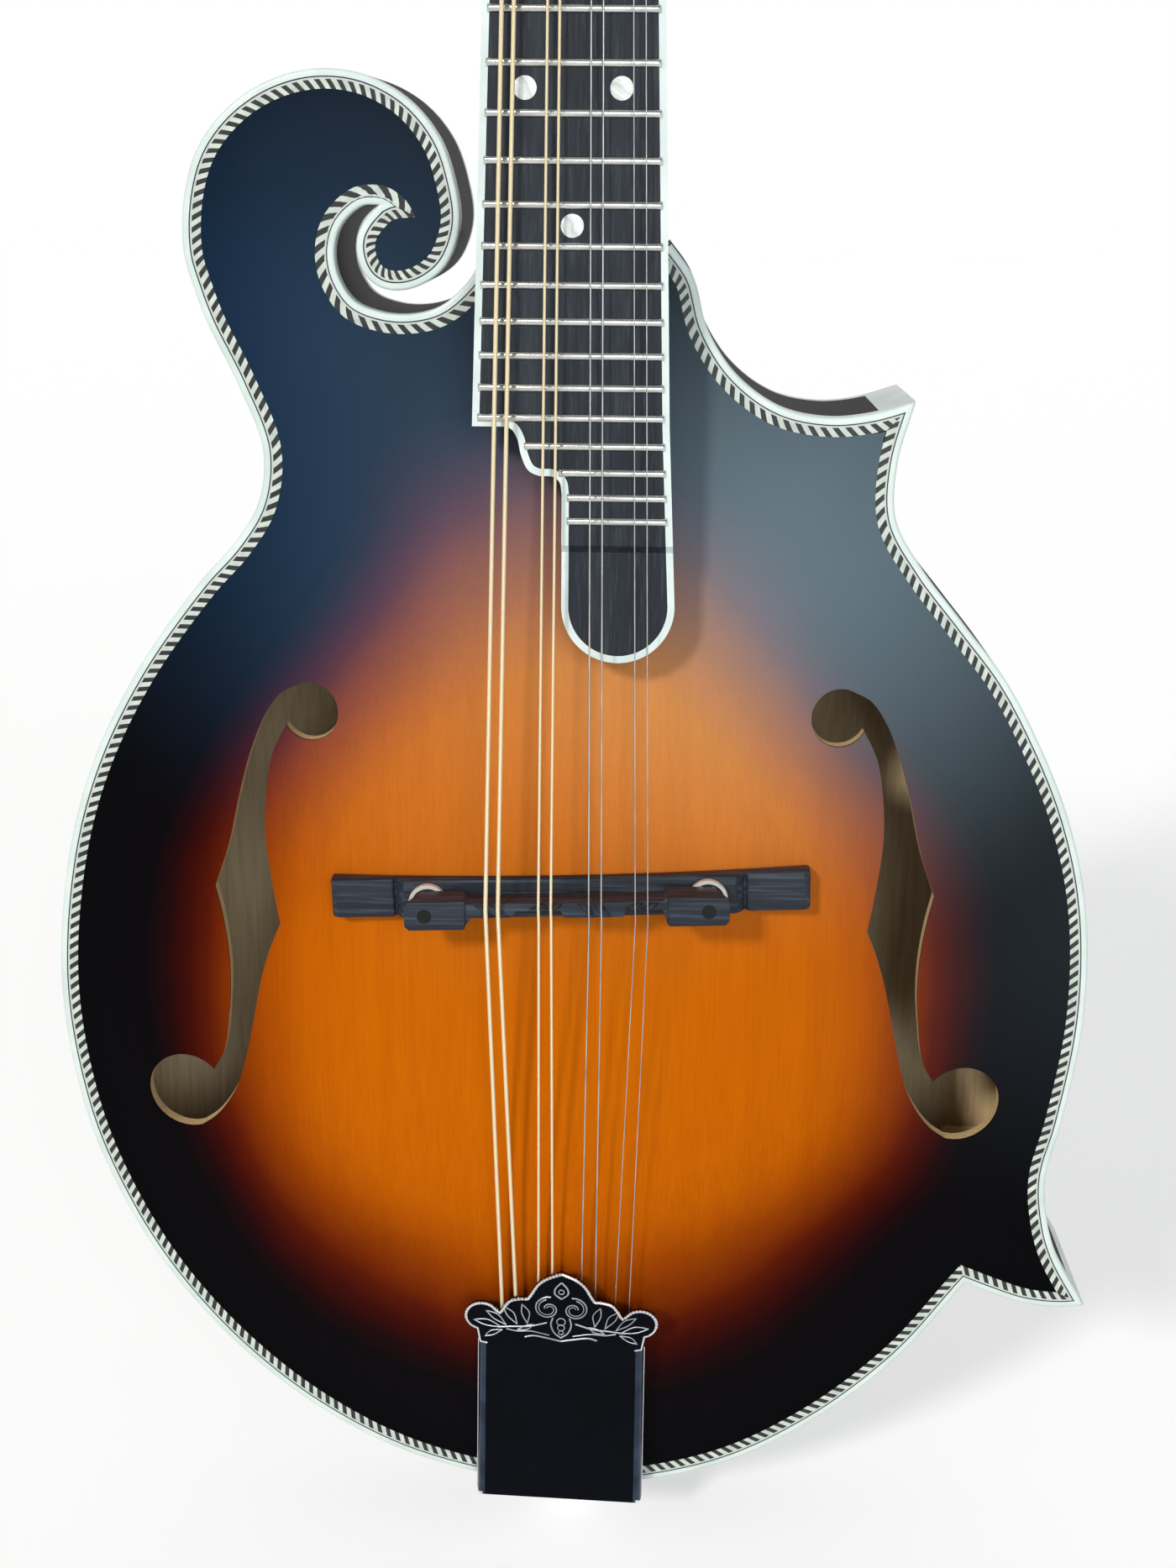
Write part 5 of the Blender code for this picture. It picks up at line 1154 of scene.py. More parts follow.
def board_span(edge, z):
    """The board's left and right sides at a height in its own plane."""
    crossings = []
    for (x0, z0), (x1, z1) in zip(edge, edge[1:]):
        if (z0 - z) * (z1 - z) <= 0 and z0 != z1:
            crossings.append(x0 + (z - z0) / (z1 - z0) * (x1 - x0))
    return min(crossings), max(crossings)


def make_board():
    """The fretboard with its binding, frets and position dots."""
    edge = board_edge(0.0008)
    core = offset(edge, BOARD_BINDING)
    wood = scooped(slab(core, 0.0, BOARD_THICKNESS))
    trim = scooped(slab(list(edge) + offset(edge, BOARD_BINDING)[::-1], 0.0, BOARD_THICKNESS))
    parts = [(placed(wood, BOARD_FRAME), EBONY), (placed(trim, BOARD_FRAME), IVORY)]
    crown = [(-FRET_HALF, 0.0002), (-FRET_HALF, -0.0002), (-FRET_HALF * 0.8, -FRET_HEIGHT * 0.6),
             (-FRET_HALF * 0.4, -FRET_HEIGHT * 0.93), (0.0, -FRET_HEIGHT), (FRET_HALF * 0.4,
                                                            -FRET_HEIGHT * 0.93),
             (FRET_HALF * 0.8, -FRET_HEIGHT * 0.6), (FRET_HALF, -0.0002), (FRET_HALF, 0.0002)]
    for number in range(1, FRET_COUNT + 1):
        z = -fret_place(number)
        left, right = board_span(core, z)
        rows = []
        for x, size in ((left - 0.0004, 0.7), (left + 0.0002, 1.0), (right - 0.0002, 1.0),
                        (right + 0.0004, 0.7)):
            rows.append([(x, y * (size if y < 0 else 1.0), z + dz) for dz, y in crown])
        parts.append((placed(skin(rows), BOARD_FRAME), FRET_METAL))
    for number in SINGLE_DOTS + (12, -12):
        place = -(fret_place(abs(number)) + fret_place(abs(number) - 1)) / 2
        x = 0.0 if abs(number) != 12 else math.copysign(DOUBLE_DOT_SPREAD, number)
        dot = turned(((0.0004, 0.0), (0.0004, DOT_RADIUS), (-0.00006, DOT_RADIUS),
                      (-0.00008, DOT_RADIUS * 0.95),
                      (-0.00008, 0.0)), 32, BOARD_FRAME @ Matrix.Translation((x, 0, place)))
        parts.append((dot, PEARL))
    piece("fingerboard", parts, replaced=["fretboard", "fretboard_binding"])


# Strings

def string_routes():
    """Each string's course, radius, and points at its post, nut, saddle and hook."""
    routes = []
    for course, label in enumerate(("g", "d", "a", "e")):
        radius = STRING_GAUGES[course] / 2
        side = -1 if course < 2 else 1
        first_post = 0 if label in ("g", "e") else 2
        for pair in (-1, 1):
            number = first_post + (0 if pair == side else 1)
            post = HEAD_FRAME @ Vector((side * (POST_OFFSET - POST_RADIUS - radius), -POST_STANDS * 0.55,
                                        FIRST_POST + POST_SPACING * number))
            nut_x = COURSE_AT_NUT[course] + pair * PAIR_AT_NUT / 2
            behind = BOARD_FRAME @ Vector((nut_x, -STRING_AT_NUT - radius, NUT_THICKNESS - 0.0008))
            nut = BOARD_FRAME @ Vector((nut_x, -STRING_AT_NUT - radius, 0.0))
            saddle_x = COURSE_AT_SADDLE[course] + pair * PAIR_AT_SADDLE / 2
            saddle_y = board_y(BRIDGE_Z) - STRING_AT_SADDLE - radius
            above = BRIDGE_FRAME @ Vector((saddle_x, saddle_y, 0.0016))
            below = BRIDGE_FRAME @ Vector((saddle_x, saddle_y, -0.0016))
            hook_x = HOOK_COURSES[course] + pair * HOOK_PAIR / 2
            hook = TAIL_FRAME @ Vector((hook_x, HOOK_DEPTH - radius, HOOK_PLACE))
            routes.append((label, radius, post, behind, nut, above, below, hook))
    return routes


def make_strings():
    """Eight strings: head, playing length, and tail with its loop."""
    upper, lower, head = [], [], []
    for label, radius, post, behind, nut, above, below, hook in string_routes():
        metal = WINDING if label in "gd" else STEEL
        head.append((tube([post, behind, nut], radius, 8), metal))
        steps = [nut.lerp(above, i / 12) for i in range(13)] + [(above + below) / 2]
        upper.append((tube(steps, radius, 10), metal))
        tail = [(above + below) / 2] + [below.lerp(hook, i / 8) for i in range(9)]
        lower.append((tube(tail, radius, 10), metal))
        loop = [hook + Vector((0.0011 * math.cos(a), -0.0002, 0.0018 * math.sin(a) - 0.0016))
                for a in np.linspace(math.pi / 2, math.pi * 2.5, 20)]
        lower.append((tube(loop, radius * 0.7, 6), STEEL))
    names = [f"string_{label}_{i}" for label in "gdae" for i in (1, 2)]
    piece("strings_at_head", head, smooth=60)
    first = piece("strings_over_board", upper, body=None, replaced=names, smooth=60)
    second = piece("strings_at_tail", lower, body=None, smooth=60)
    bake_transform(first)
    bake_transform(second)


# Bridge

def sloped_ends(bm, top):
    """The saddle's ends, which lean inwards as they go down."""
    for vert in bm.verts:
        down = (vert.co.y - top) / SADDLE_HEIGHT
        if abs(vert.co.x) > 0.028:
            vert.co.x -= math.copysign(0.0030 * max(0.0, down - 0.15), vert.co.x)
    return bm


def make_bridge():
    """The bridge base with rounded feet, its posts and thumbwheels, and the saddle."""
    half = BASE_LENGTH / 2
    foot = half - FOOT_LENGTH
    xs = np.linspace(-half, half, 60)
    under = []
    for x in xs:
        spot = BRIDGE_FRAME @ Vector((x + BASE_SHIFT, 0, 0))
        under.append((x, top_y(spot.x, spot.z) - 0.0004))
    foot_top = under[-1][1] - FOOT_HEIGHT
    shoulder = POST_SPREAD + 0.0062
    top = [(half, foot_top + 0.0020)] + [(half - 0.0020 + 0.0020 * math.cos(a),
                                          foot_top + 0.0020 - 0.0020 * math.sin(a))
                                         for a in np.linspace(0.2, math.pi / 2, 6)]
    top += [(half - 0.0080, foot_top), (foot, foot_top - 0.0002), (foot - 0.0006, -BASE_TOP + 0.0028),
            (foot - 0.0016, -BASE_TOP + 0.0012), (shoulder, -BASE_TOP)]
    top += [(-x, y) for x, y in reversed(top)]
    outline = [(x + BASE_SHIFT, y) for x, y in under + top]
    bm = bmesh.new()
    face = bm.faces.new([bm.verts.new((x, y, -BASE_WIDTH / 2)) for x, y in outline])
    extruded = bmesh.ops.extrude_face_region(bm, geom=[face])
    moved = [v for v in extruded["geom"] if isinstance(v, bmesh.types.BMVert)]
    bmesh.ops.translate(bm, verts=moved, vec=(0, 0, BASE_WIDTH))
    bmesh.ops.recalc_face_normals(bm, faces=bm.faces)
    round_edges(bm, 0.0006, 3, 60)
    piece("bridge_foot", [(placed(bm, BRIDGE_FRAME), BRIDGE_EBONY)], replaced=["bridge_base"])

    saddle_top = board_y(BRIDGE_Z) - STRING_AT_SADDLE + GAP
    saddle_bottom = saddle_top + SADDLE_HEIGHT
    half = SADDLE_LENGTH / 2
    pad = SADDLE_PAD
    low = [(-half, 0.0010), (-half + 0.0010, 0.0), (-0.0243, 0.0)]
    for start, end, rise in SADDLE_STEPS:
        low += [(start, rise), (end, rise)]
    low += [(0.0236, 0.0), (half - 0.0010, 0.0), (half, 0.0010)]
    high = [(half, pad - 0.0010), (half - 0.0010, pad), (0.0236, pad), (0.0226, pad - 0.0010),
            (-0.0230, pad - 0.0010), (-0.0243, pad), (-half + 0.0010, pad), (-half, pad - 0.0010)]
    outline = [(x, z - pad) for x, z in low] + high
    parts = [(placed(sloped_ends(slab(outline, saddle_top + SADDLE_RELIEF, saddle_bottom, None, 0.00025, 2),
                                 saddle_top), BRIDGE_FRAME), BRIDGE_EBONY)]
    for side in (-1, 1):
        pad_edge = [(side * x, z) for x, z in ((half, -pad + 0.0010), (half - 0.0010, -pad), (0.0239, -pad),
                                               (0.0236, pad), (half - 0.0010, pad), (half, pad - 0.0010))]
        block_top = slab(pad_edge, saddle_top, saddle_top + SADDLE_RELIEF + 0.0004, None, 0.0003, 2)
        parts.append((placed(block_top, BRIDGE_FRAME), BRIDGE_EBONY))
        place = BRIDGE_FRAME @ Matrix.Translation((side * POST_SPREAD, saddle_top, 0))
        # Painted shade: a thin near-black disc stands for the dark inside of the post hole
        hole = turned(((0.0004, 0.0), (0.0004, 0.0017), (-0.00005, 0.0017), (-0.00005, 0.0)), 24, place)
        parts.append((hole, HOLE_PAINTED_SHADE))
    for course, (left, right, rise) in enumerate(SADDLE_STEPS):
        middle = COURSE_AT_SADDLE[course]
        lean = 0.0016 if course % 2 else -0.0016
        for x, width in ((middle - 0.0018, 0.0013), (middle + 0.0018, 0.0013)):
            ridge = [(x - width - lean, rise - pad + 0.0003), (x + width - lean, rise - pad + 0.0003),
                     (x + width + lean, pad - 0.0012), (x - width + lean, pad - 0.0012)]
            wedge = slab(ridge, saddle_top, saddle_top + SADDLE_RELIEF + 0.0004, None, 0.0)
            for vert in wedge.verts:
                if vert.co.y < saddle_top + 0.0001:
                    vert.co.x += (x + lean * vert.co.z / pad - vert.co.x) * 0.62
            parts.append((placed(wedge, BRIDGE_FRAME), BRIDGE_EBONY))
    piece("saddle_piece", parts, body="bridge_saddle", replaced=["bridge_saddle"])

    for side, label in ((-1, "bass"), (1, "treble")):
        place = BRIDGE_FRAME @ Matrix.Translation((side * POST_SPREAD, 0, 0))
        spot = place @ Vector((0, 0, 0))
        foot_y = top_y(spot.x, spot.z) - 0.0015
        stations = [(foot_y, 0.0)]
        y = foot_y
        while y > saddle_top + 0.0028:
            stations += [(y, BRIDGE_POST_RADIUS), (y - 0.0002, BRIDGE_POST_RADIUS - 0.0002),
                         (y - 0.0004, BRIDGE_POST_RADIUS)]
            y -= 0.0005
        stations.append((saddle_top + 0.0026, 0.0))
        piece(f"threaded_post_{label}", [(turned(stations, 20, place), BRASS)],
              replaced=[f"bridge_post_{label}"])
        front = saddle_bottom + GAP
        rows = []
        knurls = 48
        for y, size in ((front, 0.94), (front + 0.0003, 1.0), (front + WHEEL_DISC - 0.0003, 1.0),
                        (front + WHEEL_DISC, 0.94)):
            ring = []
            for i in range(knurls * 2):
                a = math.pi * i / knurls
                radius = WHEEL_DISC_RADIUS * size * (1.0 if i % 2 else 0.965)
                ring.append((radius * math.cos(a), y, radius * math.sin(a)))
            rows.append(ring)
        wheel = placed(skin(rows), place)
        # The wheel's face gets the dark nickel: painted shade under the saddle, inside the bright knurled
        # rim
        face = turned(((front + 0.0004, 0.0), (front + 0.0004, WHEEL_DISC_RADIUS * 0.84),
                       (front - 0.0001, WHEEL_DISC_RADIUS * 0.82), (front - 0.0001, 0.0)), 32, place)
        piece(f"knurled_wheel_{label}", [(wheel, NICKEL), (face, NICKEL_PAINTED_SHADE)], body=f"thumbwheel_{label}",
              replaced=[f"thumbwheel_{label}"])


# Tailpiece

def cover_outline(step):
    """The tailpiece cover's outline in its own plane: two ears and a stepped, pointed crest."""
    half = COVER_WIDTH / 2
    top = COVER_WIDTH_TOP / 2
    right = [(half - COVER_FOLD, 0.0), (top - COVER_FOLD, COVER_LENGTH),
             (top - 0.0004, COVER_LENGTH + 0.0004)]
    right += arc(EAR_CENTRE, EAR_RADIUS, -72, 150, step)
    right += spline(CREST_STEP, step) + spline(CREST_DOME, step)[1:]
    left = [(-x, z) for x, z in reversed(right[:-1])]
    return right + left


def folded_side(side):
    """One long edge of the cover, folded back in a soft bend; the bright corner line along it is a separate
    tube.
    """
    rows = []
    for z, half in ((0.0, COVER_WIDTH / 2), (COVER_LENGTH + 0.0002, COVER_WIDTH_TOP / 2)):
        outer = [(half - COVER_FOLD * (1 - math.sin(a)), COVER_FOLD * (1 - math.cos(a)))
                 for a in np.linspace(0.0, math.pi / 2, 9)]
        outer.append((half, 0.0046))
        inner = [(x - COVER_SHEET, y + 0.0003) for x, y in reversed(outer[3:])]
        inner.append((half - COVER_FOLD, COVER_SHEET))
        rows.append([(side * x, y, z) for x, y in outer + inner])
    return skin(rows)


def make_tailpiece():
    """The tailpiece cover with its bright edge and engraving, and the base with its hooks."""
    outline = cover_outline(0.0008)
    plate = slab(outline, 0.0, COVER_SHEET, TAIL_FRAME, 0.0)
    crest = [(x, z) for x, z in offset(outline, 0.0003, closed=True) if z > COVER_LENGTH]
    parts = [(plate, COVER), (tube([(x, 0.0001, z) for x, z in crest], 0.00034, 8, TAIL_FRAME), CHROME)]
    for x, z in resample(crest, 0.0009)[12:-12]:
        parts.append((turned(((-0.0003, 0.0), (-0.0001, 0.0004), (0.0004, 0.0004), (0.0004, 0.0)), 8,
                             TAIL_FRAME @ Matrix.Translation((x, 0, z))), CHROME))
    half = COVER_WIDTH_TOP / 2
    for side in (-1, 1):
        parts.append((placed(folded_side(side), TAIL_FRAME), FOLD))
        corner = [(side * COVER_WIDTH / 2, COVER_FOLD, 0.0006), (side * half, COVER_FOLD, COVER_LENGTH)]
        parts.append((tube(corner, 0.00022, 8, TAIL_FRAME), CHROME))
    parts.append((block((-half, 0.0001, 0.0), (half, 0.0026, 0.0009), TAIL_FRAME, 0.0002), CHROME))
    for line, size in engraving():
        parts.append((tube([(x, 0.00006, z) for x, z in line], size, 6, TAIL_FRAME), ENGRAVED))
    piece("engraved_cover", parts, body="tailpiece_cover", replaced=["tailpiece_cover"])

    fit = half - COVER_SHEET - GAP
    base = [(block((-fit, 0.0034, -0.0009), (fit, 0.0046, HOOK_PLACE + 0.0048), TAIL_FRAME, 0.0003),
             PLATE_METAL)]
    for i in range(8):
        x = HOOK_COURSES[i // 2] + HOOK_PAIR * (i % 2 - 0.5)
        top = HOOK_PLACE + 0.0048
        hook = [(x, 0.0036, top - 0.0050), (x, 0.0026, top - 0.0054), (x, 0.0014, top - 0.0064),
                (x, 0.0018, top - 0.0075)]
        base.append((tube(hook, 0.0007, 8, TAIL_FRAME), PLATE_METAL))
    tail_z = BRIDGE_Z + TAIL_EDGE
    base.append((block((-0.0130, -0.0018, tail_z - 0.0015), (0.0130, 0.0282, tail_z - 0.0003), None, 0.0004),
                 PLATE_METAL))
    piece("tailpiece_frame", base, replaced=["tailpiece_base"])

    place = Matrix.Translation((0, 0.0190, tail_z)) @ Matrix.Rotation(math.radians(-90), 4, "X")
    seat = 0.0018
    stations = [(-0.0120, 0.0), (-0.0120, 0.0030), (seat, 0.0030), (seat, 0.0060), (seat + 0.0006, 0.0062)]
    for t in np.linspace(0.0, 1.0, 16):
        stations.append((seat + 0.0010 + 0.0082 * t,
                         0.0041 + 0.0020 * (2 * t - 1) ** 2 * (1.0 if t < 0.5 else 1.25)))
    stations += [(seat + 0.0104, 0.0064), (seat + 0.0112, 0.0062), (seat + 0.0117, 0.0056),
                 (seat + 0.0120, 0.0048),
                 (seat + 0.0120, 0.0)]
    piece("strap_button", [(turned(stations, 40, place), CHROME)], replaced=["end_pin"])


def spiral(centre, start_radius, end_radius, start, end):
    """Points of a spiral, in degrees."""
    points = []
    for t in np.linspace(0.0, 1.0, 26):
        angle = math.radians(start + (end - start) * t)
        radius = start_radius + (end_radius - start_radius) * t
        points.append((centre[0] + radius * math.cos(angle), centre[1] + radius * math.sin(angle)))
    return points


def leaf(root, tip, belly):
    """The closed outline of one leaf between its root and tip."""
    along = Vector(tip) - Vector(root)
    across = Vector((-along.y, along.x)) * belly
    middle = Vector(root) + along * 0.55
    upper = spline((root, tuple(middle + across), tip), 0.0005)
    lower = spline((tip, tuple(middle - across * 0.55), root), 0.0005)
    return upper + lower[1:]


def engraving():
    """Generic scroll and leaf engraving on the cover's crest, as (points, half width) lines."""
    fine = 0.00017
    bold = 0.00023
    lines = []
    leaves = (((0.0086, 0.0586), (0.0100, 0.0648), 0.20), ((0.0112, 0.0582), (0.0148, 0.0638), 0.18),
              ((0.0140, 0.0578), (0.0192, 0.0622), 0.16), ((0.0152, 0.0570), (0.0224, 0.0590), 0.16),
              ((0.0150, 0.0562), (0.0196, 0.0538), 0.18), ((0.0112, 0.0564), (0.0070, 0.0584), 0.18))
    for side in (-1, 1):
        half_lines = [(spiral((0.0033, 0.0637), 0.0038, 0.0010, 100, -350), bold),
                      (spiral((0.0033, 0.0637), 0.0029, 0.0004, 80, -330), fine),
                      (spline(((0.0036, 0.0592), (0.0080, 0.0578), (0.0126, 0.0574), (0.0160, 0.0570)),
                              0.0008), bold),
                      (spline(((0.0030, 0.0552), (0.0078, 0.0562), (0.0112, 0.0560), (0.0140, 0.0566)),
                              0.0008), fine),
                      (spline(((0.0, 0.0534), (0.0030, 0.0541), (0.0072, 0.0548), (0.0092, 0.0542)), 0.0008),
                       bold),
                      (spline(((0.0, 0.0722), (0.0015, 0.0703), (0.0017, 0.0686), (0.0, 0.0670)), 0.0005),
                       bold),
                      (spline(((0.0, 0.0545), (0.0018, 0.0562), (0.0026, 0.0588), (0.0021, 0.0610)), 0.0006),
                       bold)]
        half_lines += [(leaf(*shape), fine) for shape in leaves]
        lines += [([(side * x, z) for x, z in points], width) for points, width in half_lines]
    for z, size in ((0.0562, 0.0006), (0.0578, 0.0009), (0.0597, 0.0011), (0.0692, 0.0007)):
        lines.append((arc((0.0, z), size, 0, 360, 0.0003), fine))
    return lines


# Headstock

PLATE_FRONT = VENEER + GAP + HEAD_THICKNESS + GAP
WHEEL_FRONT = PLATE_FRONT + TUNER_PLATE + GAP
WHEEL_MIDDLE = WHEEL_FRONT + WHEEL_THICKNESS / 2
WORM_DROP = WHEEL_RADIUS + GAP + WORM_RADIUS
POST_NECK = POST_RADIUS * 0.86


def post_place(side, number):
    """The frame of one string post, at the headstock's face."""
    return HEAD_FRAME @ Matrix.Translation((side * POST_OFFSET, 0, FIRST_POST + POST_SPACING * number))


def machine_plate(side, name):
    """One mounting plate, with its bushings, the ears that hold the worms, and its screws."""
    inner, outer = side * (POST_OFFSET - 0.0075), side * (POST_OFFSET + 0.0075)
    low, high = FIRST_POST - 0.0125, FIRST_POST + 3 * POST_SPACING + 0.0075
    cut = side * 0.0020
    outline = [(inner, low + 0.0020), (inner + cut, low), (outer - cut, low), (outer, low + 0.0020),
               (outer, high - 0.0020), (outer - cut, high), (inner + cut, high), (inner, high - 0.0020)]
    plates = [(slab(outline, PLATE_FRONT, PLATE_FRONT + TUNER_PLATE, HEAD_FRAME, 0.0002, 2), PLATE_METAL)]
    for number in range(4):
        bushing = turned(((0.0, 0.0), (0.0, 0.0046), (-0.0004, 0.0046), (-0.0009, 0.0042), (-0.0012, 0.0034),
                          (-0.0012, 0.0)), 32, post_place(side, number))
        plates.append((bushing, PLATE_METAL))
        worm = FIRST_POST + POST_SPACING * number - WORM_DROP
        for end in (-1, 1):
            x = side * POST_OFFSET + end * 0.0050
            ear = block((x - 0.0006, PLATE_FRONT + TUNER_PLATE - 0.0001, worm - 0.0024),
                        (x + 0.0006, WHEEL_MIDDLE + 0.0024, worm + 0.0024), HEAD_FRAME, 0.0004)
            plates.append((ear, PLATE_METAL))
    for number in range(5):
        z = FIRST_POST + POST_SPACING * (number - 0.5) + (0.0022 if number == 0 else 0.0)
        if number == 4:
            z = high - 0.0030
        screw_place = HEAD_FRAME @ Matrix.Translation((inner + side * 0.0030, PLATE_FRONT + TUNER_PLATE, z))
        screw = turned(((-0.0002, 0.0), (-0.0002, 0.0016), (0.0003, 0.0015), (0.0008, 0.0008),
                        (0.0009, 0.0)),
                       20, screw_place)
        plates.append((screw, STEEL))
    piece(f"machine_plate_{name}", plates, replaced=[f"tuner_plate_{name}"])


def gear_post(side, label, number, place):
    """One string post with its worm wheel and the string's coils."""
    back = WHEEL_FRONT + WHEEL_THICKNESS
    stations = ((-POST_STANDS, 0.0), (-POST_STANDS, 0.0024), (-POST_STANDS + 0.0005, POST_RADIUS),
                (-POST_STANDS * 0.72, POST_RADIUS), (-POST_STANDS * 0.62, POST_NECK),
                (-POST_STANDS * 0.40, POST_NECK), (-POST_STANDS * 0.30, POST_RADIUS),
                (back + 0.0006, POST_RADIUS), (back + 0.0006, 0.0))
    rows = []
    for y, size in ((WHEEL_FRONT, 0.97), (WHEEL_FRONT + 0.0003, 1.0), (back - 0.0003, 1.0), (back, 0.97)):
        ring = []
        for i in range(WHEEL_TEETH * 4):
            a = 2 * math.pi * i / (WHEEL_TEETH * 4)
            tooth = (0.83, 0.88, 1.0, 0.88)[i % 4]
            ring.append((WHEEL_RADIUS * tooth * size * math.cos(a), y,
                         WHEEL_RADIUS * tooth * size * math.sin(a)))
        rows.append(ring)
    wire = STRING_GAUGES[(0 if number < 2 else 1) if side < 0 else (3 if number < 2 else 2)] / 2
    wraps = [((POST_NECK + wire) * math.cos(a), -POST_STANDS * 0.55 + wire * 2.1 * a / (2 * math.pi),
              (POST_NECK + wire) * math.sin(a)) for a in np.linspace(0, 2 * math.pi * 2.5, 60)]
    metal = WINDING if side < 0 else STEEL
    parts = [(turned(stations, 28, place), PLATE_METAL), (placed(skin(rows), place), BRASS),
             (tube(wraps, wire, 6, place), metal)]
    piece(f"gear_post_{label}", parts, body=f"tuner_post_{label}", replaced=[f"tuner_post_{label}"])


def worm_key(side, label, place):
    """One worm key: its shaft, its thread and its pearl button."""
    axis = place @ Matrix.Translation((0, WHEEL_MIDDLE, -WORM_DROP)) @ Matrix.Rotation(
        math.radians(-90 * side), 4, "Z")
    half = WORM_LENGTH / 2
    shaft = ((-half - 0.0014, 0.0), (-half - 0.0014, SHAFT_RADIUS), (-half, SHAFT_RADIUS),
             (-half, SHAFT_RADIUS * 0.95), (half, SHAFT_RADIUS * 0.95), (half, SHAFT_RADIUS),
             (BUTTON_START - 0.0012, SHAFT_RADIUS), (BUTTON_START - 0.0008, 0.0022), (BUTTON_START, 0.0024),
             (BUTTON_START + 0.0006, 0.0020), (BUTTON_START + 0.0006, 0.0))
    turns = 5
    thread = []
    for a in np.linspace(0, 2 * math.pi * turns, turns * 20):
        along = WORM_LENGTH * (a / (2 * math.pi * turns) - 0.5) * 0.94
        thread.append((SHAFT_RADIUS * 1.1 * math.cos(a), along, SHAFT_RADIUS * 1.1 * math.sin(a)))
    rows = []
    for t, size in ((0.0, 0.42), (0.05, 0.62), (0.18, 0.90), (0.35, 1.0), (0.7, 0.98), (0.88, 0.86),
                    (0.97, 0.66), (1.0, 0.45)):
        depth = BUTTON_HALF_DEPTH * (0.55 + 0.45 * size)
        ring = []
        for i in range(28):
            a = 2 * math.pi * i / 28
            c, s = math.cos(a), math.sin(a)
            ring.append((math.copysign(abs(c) ** 0.8, c) * depth * min(1.0, size + 0.1),
                         BUTTON_START + BUTTON_LENGTH * t,
                         math.copysign(abs(s) ** 0.8, s) * BUTTON_HALF_WIDTH * size))
        rows.append(ring)
    parts = [(turned(shaft, 20, axis), PLATE_METAL), (tube(thread, 0.0005, 6, axis), PLATE_METAL),
             (placed(skin(rows), axis), PEARL)]
    piece(f"worm_key_{label}", parts, body=f"tuner_key_{label}", replaced=[f"tuner_key_{label}"])


def make_head():
    """The tuning machines of both sides."""
    for side, name in ((-1, "bass"), (1, "treble")):
        machine_plate(side, name)
        for number in range(4):
            label = f"{name}_{number + 1}"
            place = post_place(side, number)
            gear_post(side, label, number, place)
            worm_key(side, label, place)


def dress_cad():
    """Better materials for the CAD nodes that stay."""
    finishes = {"neck": NECK_MAPLE, "headstock_veneer": EBONY, "nut": BONE, "truss_rod": STEEL,
                "truss_rod_cover": BLACK_PLASTIC, "truss_rod_nut": BRASS}
    for name in ("head_block", "tail_block", "scroll_block", "upper_point_block", "lower_point_block",
                 "front_lining", "back_lining", "tone_bar_bass", "tone_bar_treble"):
        finishes[name] = INNER_WOOD
    for name, material in finishes.items():
        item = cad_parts[name]
        item.data.materials.clear()
        item.data.materials.append(material)


# Stage

def make_stage():
    """A plain pale floor below the instrument."""
    bm = bmesh.new()
    bmesh.ops.create_grid(bm, x_segments=8, y_segments=8, size=6.0)
    bmesh.ops.translate(bm, vec=(0, 3.0, CAD_BOX[0][2] - 0.004), verts=bm.verts)
    mesh = bpy.data.meshes.new("floor")
    bm.to_mesh(mesh)
    bm.free()
    floor = bpy.data.objects.new("floor", mesh)
    bpy.context.scene.collection.objects.link(floor)
    material, tree, shader, place = start_material("pale_floor", 0.9)
    shader.inputs["Base Color"].default_value = (0.80, 0.80, 0.80, 1.0)
    shader.inputs["Emission Color"].default_value = (1.0, 1.0, 1.0, 1.0)
    path = tree.nodes.new("ShaderNodeLightPath")
    seen = calc(tree, "MAXIMUM", path.outputs["Is Camera Ray"], path.outputs["Is Glossy Ray"])
    shown = calc(tree, "MAXIMUM", seen, path.outputs["Is Transmission Ray"])
    tree.links.new(remap(tree, shown, 0.0, 1.0, 0.0, 0.47), shader.inputs["Emission Strength"])
    mesh.materials.append(material)


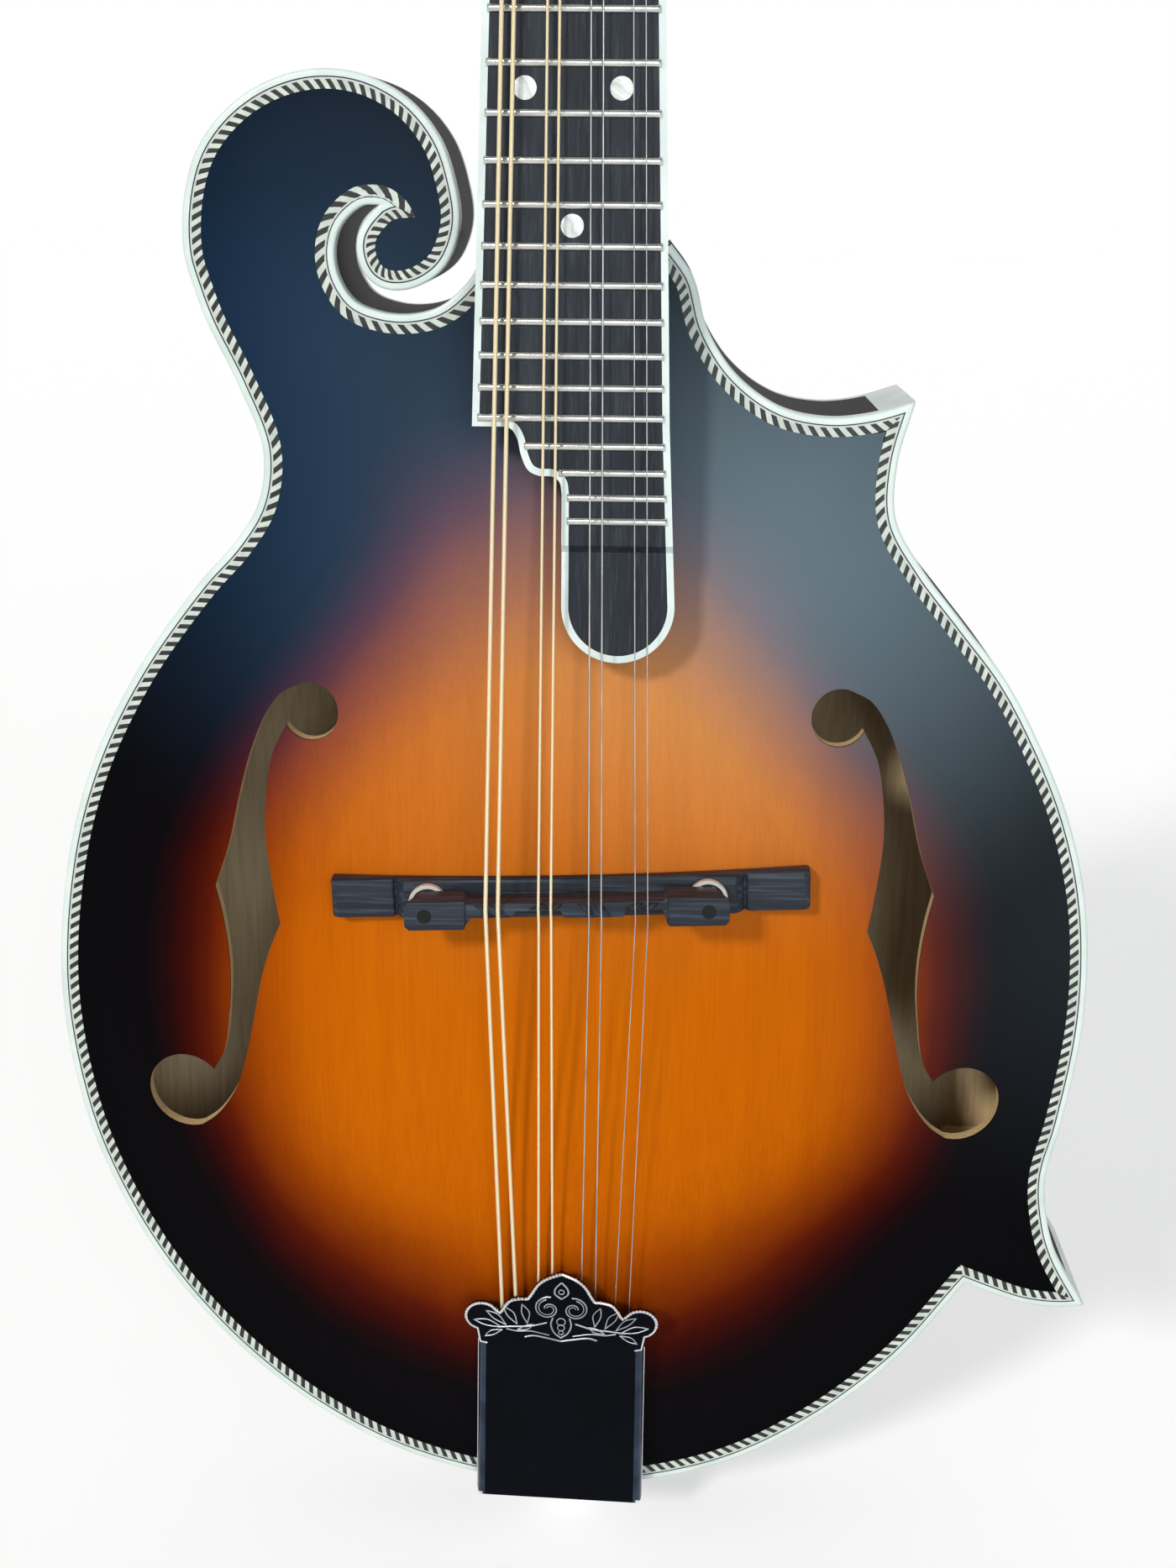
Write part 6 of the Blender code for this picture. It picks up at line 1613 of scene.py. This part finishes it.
def add_sun(name, source, strength, spread, tint):
    """A far lamp whose light comes from a direction, with a spread in degrees."""
    lamp = bpy.data.lights.new(name, "SUN")
    lamp.energy = strength
    lamp.angle = math.radians(spread)
    lamp.color = tint
    holder = bpy.data.objects.new(name, lamp)
    holder.matrix_world = Vector(source).to_track_quat("Z", "Y").to_matrix().to_4x4()
    bpy.context.scene.collection.objects.link(holder)


def make_lights():
    """A pale backdrop, a key lamp from the upper left, and a broad cool window from the upper right."""
    world = bpy.data.worlds.new("studio")
    bpy.context.scene.world = world
    world.use_nodes = True
    tree = world.node_tree
    background = tree.nodes["Background"]
    background.inputs["Color"].default_value = (1.0, 1.0, 1.0, 1.0)
    path = tree.nodes.new("ShaderNodeLightPath")
    parts = add_node(tree, "ShaderNodeSeparateXYZ",
                     {0: tree.nodes.new("ShaderNodeTexCoord").outputs["Generated"]})
    behind = remap(tree, parts.outputs["Y"], -0.1, 0.3)
    mirrored_share = calc(tree, "MAXIMUM", path.outputs["Is Glossy Ray"],
                          path.outputs["Is Transmission Ray"])
    shown = calc(tree, "MAXIMUM", path.outputs["Is Camera Ray"],
                 calc(tree, "MULTIPLY", mirrored_share, behind))
    tree.links.new(remap(tree, shown, 0.0, 1.0, 0.30, 1.0), background.inputs["Strength"])
    add_sun("key", (-0.42, -0.78, 0.46), 1.75, 8, (1.0, 0.97, 0.93))
    add_sun("window", (0.26, -0.94, 0.20), 1.35, 34, (0.86, 0.94, 1.0))


def make_camera():
    """The photograph's view, as the scene's camera."""
    right = CAMERA_RIGHT.normalized()
    up = (CAMERA_UP - right * CAMERA_UP.dot(right)).normalized()
    back = right.cross(up)
    camera = bpy.data.cameras.new("camera")
    camera.sensor_fit = "HORIZONTAL"
    camera.sensor_width = SENSOR
    camera.lens = SENSOR * FOCAL_PIXELS / PHOTO_WIDTH
    camera.clip_start = 0.01
    holder = bpy.data.objects.new("camera", camera)
    turn = Matrix((right, up, back)).transposed()
    holder.matrix_world = Matrix.Translation(CAMERA_PLACE) @ turn.to_4x4()
    bpy.context.scene.collection.objects.link(holder)
    bpy.context.scene.camera = holder


make_camera()
bpy.context.scene.view_settings.view_transform = "Standard"
make_body()
make_board()
make_strings()
make_bridge()
make_tailpiece()
make_head()
dress_cad()
make_stage()
make_lights()
